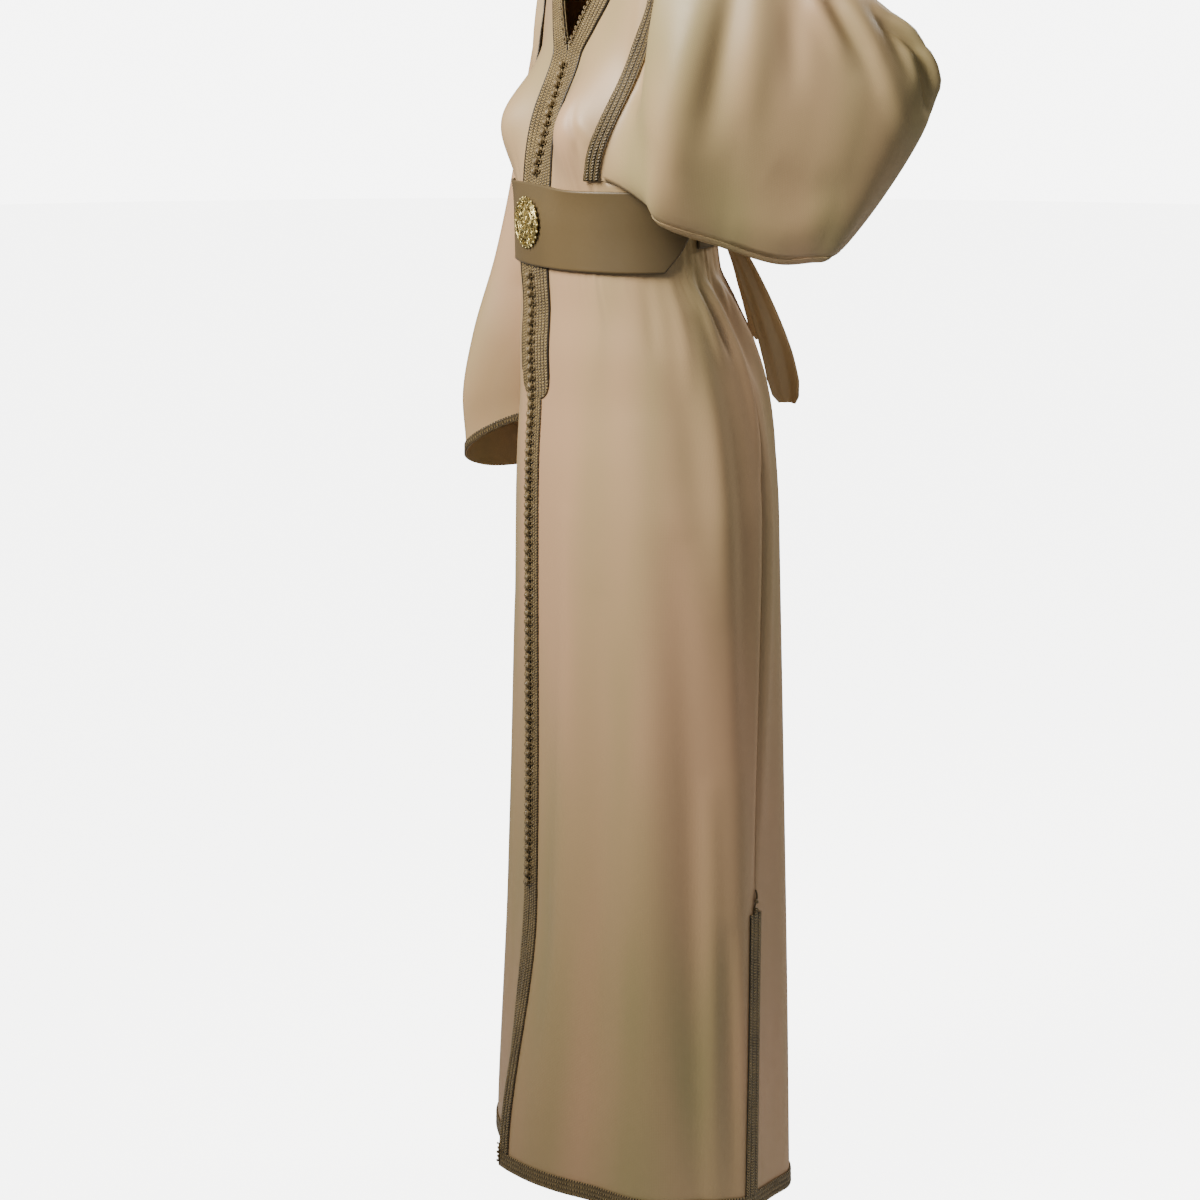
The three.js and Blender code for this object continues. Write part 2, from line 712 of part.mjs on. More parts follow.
// Sleeves
const leftSleeve = sleeveGrid(left, back, 1, LEFT_SLEEVE);
const rightSleeve = sleeveGrid(right, back, -1, RIGHT_SLEEVE);
add("sleeve_left", wall(leftSleeve, -half, half, true), SATIN);
add("sleeve_right", wall(rightSleeve, -half, half, true), SATIN);
const leftCuff = leftSleeve.slice(-2);
const rightCuff = rightSleeve.slice(-2);
add("cuff_braid_left", wall(leftCuff, onCloth, onCloth + BRAID, true), BRAID_COLOUR);
add("cuff_braid_right", wall(rightCuff, onCloth, onCloth + BRAID, true), BRAID_COLOUR);

// Braid and trims on the panels' own points
const bandEnd = rowAt(BAND_END_Z);
const slitTop = rowAt(SLIT_TOP_Z);
const hemRow = ROWS.length - 1;
const bandColumns = INNER_COLUMNS.length - 1;
for (const [side, grid] of [["left", left], ["right", right]]) {
  const braid = (name, rowFrom, rowTo, columnFrom, columnTo) => {
    const strip = cutGrid(grid, rowFrom, rowTo, columnFrom, columnTo);
    add(`${name}_${side}`, wall(strip, onCloth, onCloth + BRAID), BRAID_COLOUR);
  };
  const last = frontColumns - 1;
  braid("front_band", 0, bandEnd, 0, bandColumns);
  braid("front_edge_trim", bandEnd, hemRow - 1, 0, 2);
  braid("hem_trim_front", hemRow - 1, hemRow, 0, last);
  braid("slit_trim_front", slitTop, hemRow - 1, last - 2, last);
}
const backLast = backColumns - 1;
const backStrip = (name, rowFrom, rowTo, columnFrom, columnTo, inner) => {
  const strip = cutGrid(back, rowFrom, rowTo, columnFrom, columnTo);
  add(name, wall(strip, inner, inner + BRAID), BRAID_COLOUR);
};
backStrip("hem_trim_back", hemRow - 1, hemRow, 0, backLast, onCloth);
backStrip("slit_trim_back_left", slitTop, hemRow - 1, 0, 2, onCloth);
backStrip("slit_trim_back_right", slitTop, hemRow - 1, backLast - 2, backLast, onCloth);

// Braid over the sleeve seams
const onSleeve = SLEEVE_LIFT + half + GAP + 0.1;
const armholeEnd = LAST_BODICE;
const armholeBraid = (name, grid, columnFrom, columnTo, lift = onSleeve) => {
  const strip = cutGrid(grid, 0, armholeEnd, columnFrom, columnTo);
  add(name, wall(strip, lift, lift + BRAID), BRAID_COLOUR);
};
armholeBraid("armhole_braid_front_left", left, frontColumns - 4, frontColumns - 2);
armholeBraid("armhole_braid_front_right", right, frontColumns - 4, frontColumns - 2);
armholeBraid("armhole_braid_back_left", back, 1, 3);
armholeBraid("armhole_braid_back_right", back, backLast - 3, backLast - 1, onSleeve + 0.4);

// Belt, brooch, sash and knot
const beltEnd = (z) => along(BELT_ENDS, "z", z, "angle");
const beltPanel = beltGrid(BELT_TOP_Z, BELT_LOW_Z, 4, 26, (z) => -beltEnd(z), beltEnd);
add("belt_panel", wall(beltPanel, BELT_LIFT, BELT_LIFT + BELT_THICK), BELT_COLOUR);
const backBelt = beltGrid(BACK_BELT_TOP_Z, BACK_BELT_LOW_Z, 2, 20, () => 109, () => 251);
add("belt_back", wall(backBelt, BACK_BELT_LIFT, BACK_BELT_LIFT + BACK_BELT_THICK), BELT_COLOUR);
add("brooch", broochSolid(), METAL);
add("sash_knot", knotSolid(), BELT_COLOUR);
add("sash_end_long", sashEnd(LONG_END), BELT_COLOUR);
add("sash_end_short", sashEnd(SHORT_END), BELT_COLOUR);

// Buttons above and below the belt
add("buttons_upper", buttonRow(NECK_V_Z, BELT_TOP_Z + 7, UPPER_BUTTON_LIFT), BUTTON_COLOUR);
add("buttons_lower", buttonRow(BELT_LOW_Z - 6, SLIT_TOP_Z - 8, LOWER_BUTTON_LIFT), BUTTON_COLOUR);

export default group;
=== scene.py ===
"""Long belted kaftan: cloth, braid, buttons, belt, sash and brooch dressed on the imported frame."""

import logging
import math
from dataclasses import dataclass, field
from enum import Enum
from functools import partial
from typing import Callable, Sequence

import bpy
import numpy as np
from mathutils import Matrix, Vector


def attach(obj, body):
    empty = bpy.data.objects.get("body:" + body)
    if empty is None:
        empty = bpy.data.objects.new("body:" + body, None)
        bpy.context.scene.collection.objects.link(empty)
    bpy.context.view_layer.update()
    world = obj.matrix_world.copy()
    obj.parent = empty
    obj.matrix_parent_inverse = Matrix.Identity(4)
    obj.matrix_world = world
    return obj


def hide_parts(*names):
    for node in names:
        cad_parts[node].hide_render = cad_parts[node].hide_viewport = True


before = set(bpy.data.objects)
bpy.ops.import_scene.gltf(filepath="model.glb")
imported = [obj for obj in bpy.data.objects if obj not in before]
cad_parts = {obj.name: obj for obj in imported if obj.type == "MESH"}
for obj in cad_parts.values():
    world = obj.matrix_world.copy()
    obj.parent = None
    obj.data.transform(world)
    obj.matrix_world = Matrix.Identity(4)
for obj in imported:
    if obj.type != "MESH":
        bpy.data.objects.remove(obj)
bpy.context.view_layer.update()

LOG = logging.getLogger("kaftan")
MM = 0.001
DEG = math.pi / 180.0
FULL_TURN = 6.283
UV_UNIT = 0.01
WELD = 1e-6

Grid = np.ndarray
Colour = tuple[float, float, float, float]
Edge = Callable[[Grid], Grid]
Line = tuple[tuple[float, float], ...]
Piece = bpy.types.Object
Material = bpy.types.Material
Tree = bpy.types.NodeTree
Node = bpy.types.Node
Socket = bpy.types.NodeSocket


class Side(Enum):
    """The garment's left or right."""

    LEFT = 1
    RIGHT = -1

    @property
    def label(self) -> str:
        """The side as it stands in the names of pieces."""
        return self.name.lower()


class Curve:
    """Smooth value between the rows of a table, without overshoot."""

    def __init__(self, rows: Sequence[tuple[float, float]]) -> None:
        """Keep the rows in rising order and work out the slopes.

        Args:
            rows: Pairs of key and value.
        """
        ordered = sorted(rows)
        self.keys = np.array([row[0] for row in ordered], dtype=float)
        self.values = np.array([row[1] for row in ordered], dtype=float)
        rise = np.diff(self.values) / np.diff(self.keys)
        slopes = np.zeros(len(ordered))
        slopes[0] = rise[0]
        slopes[-1] = rise[-1]
        before = rise[:-1]
        after = rise[1:]
        total = np.where(np.abs(before + after) < 1e-12, 1.0, before + after)
        slopes[1:-1] = np.where(before * after <= 0, 0.0, 2 * before * after / total)
        self.slopes = slopes

    def __call__(self, at: Grid) -> Grid:
        """Value at one or more keys.

        Args:
            at: Keys.

        Returns:
            The smooth values.
        """
        at = np.clip(np.asarray(at, dtype=float), self.keys[0], self.keys[-1])
        row = np.clip(np.searchsorted(self.keys, at, side="right") - 1, 0, len(self.keys) - 2)
        span = self.keys[row + 1] - self.keys[row]
        t = (at - self.keys[row]) / span
        a = self.values[row]
        b = self.values[row + 1]
        ease = t * t * (3 - 2 * t)
        leave = t * (1 - t) ** 2 * span * self.slopes[row]
        arrive = t * t * (t - 1) * span * self.slopes[row + 1]
        return a + (b - a) * ease + leave + arrive


def within_half_turn(angle: Grid) -> Grid:
    """Angles that count on round the back, brought within 180 degrees."""
    return np.where(angle > 180, angle - 360, angle)


def smooth(start: float, end: float, at: Grid) -> Grid:
    """Soft step from 0 at start to 1 at end.

    Args:
        start: Where the step begins.
        end: Where it is full.
        at: Places.

    Returns:
        Shares from 0 to 1.
    """
    t = np.clip((np.asarray(at, dtype=float) - start) / (end - start), 0, 1)
    return t * t * (3 - 2 * t)


@dataclass(frozen=True)
class Fold:
    """A standing fold of the skirt, in degrees round from the front and millimetres."""

    angle: float
    spread: float
    height: float
    top: float


@dataclass(frozen=True)
class Crease:
    """A soft ridge or trough along a line on the cloth, in the cloth's own two coordinates."""

    line: Line
    width: float
    height: float

    def lift(self, across: Grid, up: Grid) -> Grid:
        """Outward lift of points.

        Args:
            across: First coordinate in millimetres.
            up: Second coordinate in millimetres.

        Returns:
            Lift in millimetres.
        """
        points = np.array(self.line, dtype=float)
        lengths = np.linalg.norm(np.diff(points, axis=0), axis=1)
        starts = np.concatenate([[0.0], np.cumsum(lengths)])
        nearest = np.full(np.shape(across), 1e9)
        place = np.zeros(np.shape(across))
        for i, length in enumerate(lengths):
            way = (points[i + 1] - points[i]) / length
            dx = across - points[i, 0]
            dy = up - points[i, 1]
            t = np.clip(dx * way[0] + dy * way[1], 0, length)
            gap = np.hypot(dx - t * way[0], dy - t * way[1])
            closer = gap < nearest
            nearest = np.where(closer, gap, nearest)
            place = np.where(closer, (starts[i] + t) / starts[-1], place)
        taper = np.sin(np.pi * np.clip(place * 0.9 + 0.05, 0, 1)) ** 0.7
        return self.height * taper * np.exp(-((nearest / self.width) ** 2))


@dataclass
class Body:
    """The garment's surface, worked out from its sizes in millimetres."""

    neck_side_z: float = 18
    neck_side_x: float = 78
    shoulder_slope: float = 0.23
    neck_rise: float = 0.12
    back_neck_drop: float = 30
    underarm_z: float = -258
    armhole_drop: float = 6
    round_front: float = 130
    round_back: float = 90
    hem_z: float = -1374
    chest: float = 38
    left_flare: float = 38
    right_flare: float = 17
    sections: tuple[tuple[float, float, float, float, float], ...] = (
        (30, 173, 44, 88, 0),
        (0, 172, 44, 88, 0),
        (-60, 165, 46, 94, 0),
        (-140, 153, 56, 98, 0),
        (-205, 147, 75, 94, 0),
        (-262, 141, 90, 92, 0),
        (-311, 139, 98, 95, 0),
        (-353, 142, 98.5, 101, 1),
        (-398, 152, 108, 108, 13),
        (-442, 162, 119, 119, 22),
        (-504, 172, 127, 127, 31),
        (-562, 181, 133, 133, 34),
        (-620, 189, 135, 135, 35),
        (-964, 205, 140, 137, 38),
        (-1200, 217, 144, 141, 37),
        (-1374, 228, 147, 145, 35),
    )
    seam: Curve = field(
        default_factory=lambda: Curve(
            [(-262, 111), (-353, 117), (-465, 120), (-620, 117), (-964, 107), (-1374, 101)]
        )
    )
    armhole_front: Curve = field(
        default_factory=lambda: Curve([(0, 74), (0.3, 73.5), (0.44, 67.5), (0.6, 61.5), (0.8, 57.5), (1, 52)])
    )
    armhole_back: Curve = field(
        default_factory=lambda: Curve([(0, 106), (0.3, 111), (0.44, 114), (0.6, 118), (0.8, 124), (1, 129)])
    )
    opening: Curve = field(
        default_factory=lambda: Curve(
            [
                (30, 84),
                (18, 78),
                (-20, 64),
                (-77, 40),
                (-110, 18),
                (-140, 0.25),
                (-1040, 0.25),
                (-1180, 5),
                (-1374, 13),
            ]
        )
    )
    folds: tuple[Fold, ...] = (
        Fold(26, 10, 4, -700),
        Fold(52, 11, 5, -560),
        Fold(80, 8, -5, -640),
        Fold(96, 7, 6, -520),
        Fold(128, 8, 9, -430),
        Fold(146, 7, -8, -480),
        Fold(163, 8, 10, -450),
    )

    def __post_init__(self) -> None:
        """Make a curve of each column of the sections."""
        self.wide = Curve([(row[0], row[1]) for row in self.sections])
        self.front = Curve([(row[0], row[2]) for row in self.sections])
        self.back = Curve([(row[0], row[3]) for row in self.sections])
        self.mid = Curve([(row[0], row[4]) for row in self.sections])

    def shoulder(self, x: Grid) -> Grid:
        """Height of the shoulder line above a place across the body."""
        across = np.abs(x)
        slope = np.where(across > self.neck_side_x, self.shoulder_slope, self.neck_rise)
        return self.neck_side_z - (across - self.neck_side_x) * slope

    def height(self, row: Grid) -> Grid:
        """Height of a row: 0 at the shoulder, 1 at the underarm, then a metre for each 1."""
        upper = self.neck_side_z + (self.underarm_z - self.neck_side_z) * row
        return np.where(row <= 1, upper, self.underarm_z - (row - 1) * 1000)

    def row(self, z: float) -> float:
        """Row of a height."""
        if z > self.underarm_z:
            return (self.neck_side_z - z) / (self.neck_side_z - self.underarm_z)
        return 1 + (self.underarm_z - z) / 1000

    def rows_at(self, heights: Grid) -> Grid:
        """Rows of several heights."""
        return np.array([self.row(z) for z in heights])

    def bust(self, angle: Grid, z: Grid) -> Grid:
        """Forward fullness of the front over the chest."""
        x = np.abs(self.wide(z) * np.sin(angle * DEG))
        side = (x - 84) / 42
        low = (z + 205) / 55
        return np.where(np.abs(angle) > 90, 0.0, self.chest * np.exp(-side * side - low * low))

    def surface(self, angle: Grid, row: Grid) -> Grid:
        """Points of the surface.

        Args:
            angle: Degrees round from the front, the garment's left positive, within 180.
            row: Rows down from the shoulder.

        Returns:
            Points in millimetres, with the coordinates last.
        """
        angle, row = np.broadcast_arrays(np.asarray(angle, float), np.asarray(row, float))
        turn = angle * DEG
        behind = np.abs(angle) > 90
        level = self.height(row)
        high = np.minimum(row, 1)
        x_high = self.wide(level) * np.sin(turn)
        neck = np.maximum(0, 1 - (x_high / self.neck_side_x) ** 2)
        drop = np.where(behind, self.back_neck_drop * neck, 0)
        z_high = (self.shoulder(x_high) - drop) * (1 - high) + self.underarm_z * high
        rounding = np.where(behind, self.round_back, self.round_front)
        left = 1 - np.clip((self.shoulder(x_high) - z_high) / rounding, 0, 1)
        fullness = np.sqrt(np.maximum(0, 1 - left * left))
        depth = np.where(behind, self.back(level), self.front(level))
        y_high = -depth * fullness * np.cos(turn) - self.bust(angle, level)
        fold = np.zeros(np.shape(turn))
        for each in self.folds:
            full = smooth(each.top + 60, self.hem_z + 150, level)
            fold = fold + each.height * full * np.exp(-(((np.abs(angle) - each.angle) / each.spread) ** 2))
        reach = np.where(angle > 0, self.left_flare, self.right_flare)
        flare = smooth(-1060, self.hem_z, level) * reach * np.exp(-((angle / 26) ** 2))
        x_low = (self.wide(level) + fold) * np.sin(turn)
        y_low = self.mid(level) - (depth + fold) * np.cos(turn) - self.bust(angle, level) - flare
        upper = row <= 1
        return np.stack(
            [np.where(upper, x_high, x_low), np.where(upper, y_high, y_low), np.where(upper, z_high, level)],
            axis=-1,
        )

    def outward(self, angle: Grid, row: Grid) -> Grid:
        """Outward normals of the surface."""
        angle = np.asarray(angle, float)
        row = np.asarray(row, float)
        ahead = self.surface(angle + 0.3, row) - self.surface(angle - 0.3, row)
        down = self.surface(angle, row + 0.0008) - self.surface(angle, np.maximum(0, row - 0.0008))
        normal = -np.cross(ahead, down)
        return normal / np.maximum(np.linalg.norm(normal, axis=-1, keepdims=True), 1e-9)

    def step(self, angle: Grid, row: Grid) -> Grid:
        """Millimetres along the surface for each degree."""
        span = self.surface(angle + 0.5, row) - self.surface(angle - 0.5, row)
        return np.maximum(np.linalg.norm(span, axis=-1), 0.4)

    def outer_edge(self, row: Grid, front: bool) -> Grid:
        """Angle of a panel's outer edge: the armhole above, the side seam below.

        Args:
            row: Rows.
            front: Whether it is a front panel's edge or the back's.

        Returns:
            Angles in degrees.
        """
        row = np.asarray(row, float)
        armhole = self.armhole_front if front else self.armhole_back
        t = np.clip((row - 1) * 1000 / self.armhole_drop, 0, 1)
        reach = np.sqrt(1 - (1 - t) ** 2)
        seam = self.seam(self.height(row))
        low = armhole(1.0) + (seam - armhole(1.0)) * reach
        return np.where(row <= 1, armhole(np.minimum(row, 1)), low)

    def inner_edge(self, row: Grid) -> Grid:
        """Angle of a front panel's inner edge."""
        level = self.height(np.asarray(row, float))
        return np.arcsin(np.minimum(1, self.opening(level) / self.wide(level))) / DEG

    def from_inner(self, row: Grid, distance: Grid) -> Grid:
        """Angle at a distance in from a front panel's inner edge.

        Args:
            row: Rows.
            distance: Millimetres along the row, up to 36.

        Returns:
            Angles in degrees.
        """
        angle = self.inner_edge(row)
        walked = np.zeros(np.shape(angle))
        result = angle.copy()
        for _ in range(4):
            step = 9 / self.step(angle + 2, row)
            share = np.clip((distance - walked) / 9, 0, 1)
            result = result + step * share
            angle = angle + step
            walked = walked + 9
        return result

    def from_outer(self, row: Grid, distance: Grid, front: bool) -> Grid:
        """Angle at a distance in from a panel's outer edge, counted as the front's or the back's."""
        edge = self.outer_edge(row, front)
        way = -1 if front else 1
        steps = self.step(edge + way * 2, row)
        return edge + way * np.asarray(distance) / steps


@dataclass(frozen=True)
class Ring:
    """A sleeve ring: top and low point, half widths, the ways they face, and fullness near the low point."""

    top: tuple[float, float, float]
    low: tuple[float, float, float]
    out: float
    inn: float
    face: float
    back: float
    sag: float = 0.0


LEFT_RINGS = (
    Ring((183, 8.5, -6.5), (165.5, -10.5, -288.7), 50.5, 52.5, -80, 100, 1.4),
    Ring((206, 38, -16), (174, -26, -298), 56, 46, -58, 128, 0.5),
    Ring((232, 86, -36), (200, 30, -322), 50, 26, -36, 146),
    Ring((258, 134, -58), (222, 84, -339), 44, 15, -30, 150),
    Ring((278, 170, -86), (236, 112, -337), 36, 10, -14, 166),
    Ring((293, 198, -116), (242, 126, -335), 28, 9, 20, 200),
    Ring((294, 214, -150), (238, 132, -328), 22, 9, 62, 242),
    Ring((270, 216, -184), (228, 144, -330), 22, 11, 98, 278),
    Ring((234, 204, -214), (206, 150, -336), 27, 14, 110, 290),
    Ring((194, 186, -244), (180, 150, -342), 31, 18, 114, 294),
    Ring((163, 170, -266), (155, 146, -342), 33, 24, 114, 294),
    Ring((152, 165, -273), (145, 142, -341), 33, 24, 114, 294),
)

RIGHT_RINGS = (
    Ring((-183, 16, -10), (-163, -8, -282), 34, 52, -100, 80, 1.2),
    Ring((-202, 14, -36), (-172, 0, -300), 32, 72, -92, 88),
    Ring((-226, 8, -130), (-178, 4, -336), 34, 78, -92, 88),
    Ring((-244, 2, -240), (-184, 6, -380), 40, 86, -92, 88),
    Ring((-258, -4, -350), (-193, 6, -428), 55, 96, -92, 88),
    Ring((-268, -12, -450), (-201, 2, -474), 74, 106, -92, 88),
    Ring((-275, -18, -540), (-207, -4, -512), 80, 110, -92, 88),
    Ring((-278, -24, -612), (-210, -12, -546), 68, 112, -92, 88),
    Ring((-278, -26, -623), (-210, -14, -556), 66, 112, -92, 88),
)


class Loft:
    """Smooth points along a run of rings that lie at uneven distances."""

    def __init__(self, rings: Grid) -> None:
        """Measure the distances between the rings and work out the slopes.

        Args:
            rings: Rings, points and coordinates.
        """
        self.rings = rings
        gaps = np.linalg.norm(np.diff(rings, axis=0), axis=-1).mean(axis=1)
        self.knots = np.concatenate([[0.0], np.cumsum(gaps)])
        rise = np.diff(rings, axis=0) / gaps[:, None, None]
        slopes = np.empty_like(rings)
        slopes[0] = rise[0]
        slopes[-1] = rise[-1]
        before = gaps[:-1, None, None]
        after = gaps[1:, None, None]
        slopes[1:-1] = (rise[1:] * before + rise[:-1] * after) / (before + after)
        self.slopes = slopes

    def at(self, place: Grid) -> Grid:
        """One ring of points for each place.

        Args:
            place: Distances from the first ring.

        Returns:
            Rings, points and coordinates.
        """
        base = np.clip(np.searchsorted(self.knots, place, side="right") - 1, 0, len(self.knots) - 2)
        span = (self.knots[base + 1] - self.knots[base])[:, None, None]
        t = (place - self.knots[base])[:, None, None] / span
        ease = t * t * (3 - 2 * t)
        leave = t * (1 - t) ** 2 * span * self.slopes[base]
        arrive = t * t * (t - 1) * span * self.slopes[base + 1]
        return self.rings[base] * (1 - ease) + self.rings[base + 1] * ease + leave + arrive


def unit(vectors: Grid) -> Grid:
    """Vectors of length one."""
    return vectors / np.maximum(np.linalg.norm(vectors, axis=-1, keepdims=True), 1e-9)


def along(at: Grid, length: Grid, values: Grid) -> Grid:
    """Values of a path at distances along it, one row each."""
    return np.stack([np.interp(at, length, values[:, i]) for i in range(3)], axis=-1)


def grid_normals(points: Grid, wrap: bool, toward: Grid) -> Grid:
    """Normals of a grid of points.

    Args:
        points: Rows, columns and coordinates.
        wrap: Whether the last column meets the first.
        toward: Vectors that the normals should agree with, of the same shape.

    Returns:
        Unit normals.
    """
    if wrap:
        around = np.roll(points, -1, axis=1) - np.roll(points, 1, axis=1)
    else:
        around = np.gradient(points, axis=1)
    ahead = np.gradient(points, axis=0)
    normal = unit(np.cross(around, ahead))
    flip = np.sum(normal * toward, axis=-1, keepdims=True) < 0
    return np.where(flip, -normal, normal)


@dataclass
class Sheet:
    """A piece of cloth as a grid of middle points and its outward normals, in millimetres."""

    points: Grid
    normals: Grid
    wrap: bool = False
    uv: Grid | None = None

    def closed(self, values: Grid) -> Grid:
        """Values of the grid, with the first column again at the end where the sheet wraps."""
        if self.wrap:
            return np.concatenate([values, values[:, :1]], axis=1)
        return values

    def area(self) -> float:
        """Area in square metres."""
        points = self.closed(self.points)
        a = points[1:, :-1] - points[:-1, :-1]
        b = points[:-1, 1:] - points[:-1, :-1]
        c = points[1:, 1:] - points[1:, :-1]
        d = points[1:, 1:] - points[:-1, 1:]
        first = np.linalg.norm(np.cross(a, b), axis=-1).sum() / 2
        second = np.linalg.norm(np.cross(c, d), axis=-1).sum() / 2
        return float(first + second) * 1e-6

    def spans(self) -> tuple[float, float]:
        """Largest width and length along the grid, in metres."""
        points = self.closed(self.points)
        across = np.linalg.norm(np.diff(points, axis=1), axis=-1).sum(axis=1).max()
        down = np.linalg.norm(np.diff(points, axis=0), axis=-1).sum(axis=0).max()
        return float(across) * MM, float(down) * MM

    def lifted(self, lift: Grid) -> "Sheet":
        """The sheet moved along its normals by a lift in millimetres."""
        points = self.points + self.normals * np.asarray(lift)[..., None]
        return Sheet(points, grid_normals(points, self.wrap, self.normals), self.wrap)


def clear_selection() -> None:
    """Leave edit mode and select nothing."""
    if bpy.context.object and bpy.context.object.mode != "OBJECT":
        bpy.ops.object.mode_set(mode="OBJECT")
    bpy.ops.object.select_all(action="DESELECT")


def select_only(piece: Piece) -> None:
    """Select one object and make it the active one."""
    clear_selection()
    piece.select_set(True)
    bpy.context.view_layer.objects.active = piece


def settle(piece: Piece) -> None:
    """Put a piece's place into its mesh."""
    select_only(piece)
    bpy.ops.object.transform_apply(location=True, rotation=True, scale=True)


def apply_all(piece: Piece) -> None:
    """Apply every modifier of a piece."""
    select_only(piece)
    for modifier in list(piece.modifiers):
        bpy.ops.object.modifier_apply(modifier=modifier.name)


def vertex_places(piece: Piece) -> Grid:
    """Places of a mesh's vertices, one row each."""
    places = np.zeros(len(piece.data.vertices) * 3)
    piece.data.vertices.foreach_get("co", places)
    return places.reshape(-1, 3)


def move_vertices(piece: Piece, places: Grid) -> None:
    """Put a mesh's vertices at places in metres."""
    piece.data.vertices.foreach_set("co", places.reshape(-1))
    piece.data.update()


def lay_sheet(name: str, sheet: Sheet, thick: float) -> Piece:
    """Model a sheet from a grid primitive, with a wall thickness about its middle.

    Args:
        name: Piece name.
        sheet: Points and normals in millimetres.
        thick: Wall thickness in millimetres, or 0 for a bare surface.

    Returns:
        The piece, with its UV in decimetres across and down.
    """
    rows, columns = sheet.points.shape[:2]
    clear_selection()
    wide = columns + 1 if sheet.wrap else columns
    bpy.ops.mesh.primitive_grid_add(x_subdivisions=wide - 1, y_subdivisions=rows - 1, size=1)
    piece = bpy.context.object
    piece.name = name
    piece.data.name = name
    points = sheet.closed(sheet.points)
    normals = sheet.closed(sheet.normals)
    move_vertices(piece, points * MM)
    if sheet.uv is None:
        flat = np.zeros((rows, wide, 2))
        flat[:, 1:, 0] = np.cumsum(np.linalg.norm(np.diff(points, axis=1), axis=-1), axis=1)
        flat[1:, :, 1] = np.cumsum(np.linalg.norm(np.diff(points, axis=0), axis=-1), axis=0)
    else:
        flat = sheet.uv
    corners = np.zeros(len(piece.data.loops), dtype=np.int32)
    piece.data.loops.foreach_get("vertex_index", corners)
    uv = flat.reshape(-1, 2)[corners] * UV_UNIT
    piece.data.uv_layers.active.data.foreach_set("uv", uv.reshape(-1).astype(np.float32))
    piece.data.update()
    face = piece.data.polygons[len(piece.data.polygons) // 2]
    want = normals.reshape(-1, 3)[face.vertices[0]]
    bpy.ops.object.mode_set(mode="EDIT")
    bpy.ops.mesh.select_all(action="SELECT")
    if face.normal.dot(Vector(want)) < 0:
        bpy.ops.mesh.flip_normals()
    if sheet.wrap:
        bpy.ops.mesh.remove_doubles(threshold=WELD)
    bpy.ops.mesh.faces_shade_smooth()
    bpy.ops.object.mode_set(mode="OBJECT")
    if thick > 0:
        give_wall(piece, thick)
    return piece


def give_wall(piece: Piece, thick: float) -> None:
    """Thicken a surface about its middle, in millimetres."""
    wall = piece.modifiers.new("wall", "SOLIDIFY")
    wall.thickness = thick * MM
    wall.offset = 0
    wall.use_even_offset = False
    apply_all(piece)


def lay_parts(name: str, sheets: Sequence[Sheet], thick: float) -> Piece:
    """Model one piece of cloth from sheets that share an edge.

    Args:
        name: Piece name.
        sheets: The sheets, their shared edges at the same points.
        thick: Wall thickness in millimetres.

    Returns:
        The piece.
    """
    parts = [lay_sheet(f"{name}_part", sheet, 0) for sheet in sheets]
    piece = joined(name, parts)
    bpy.ops.object.mode_set(mode="EDIT")
    bpy.ops.mesh.select_all(action="SELECT")
    bpy.ops.mesh.remove_doubles(threshold=2 * WELD)
    bpy.ops.object.mode_set(mode="OBJECT")
    give_wall(piece, thick)
    return piece


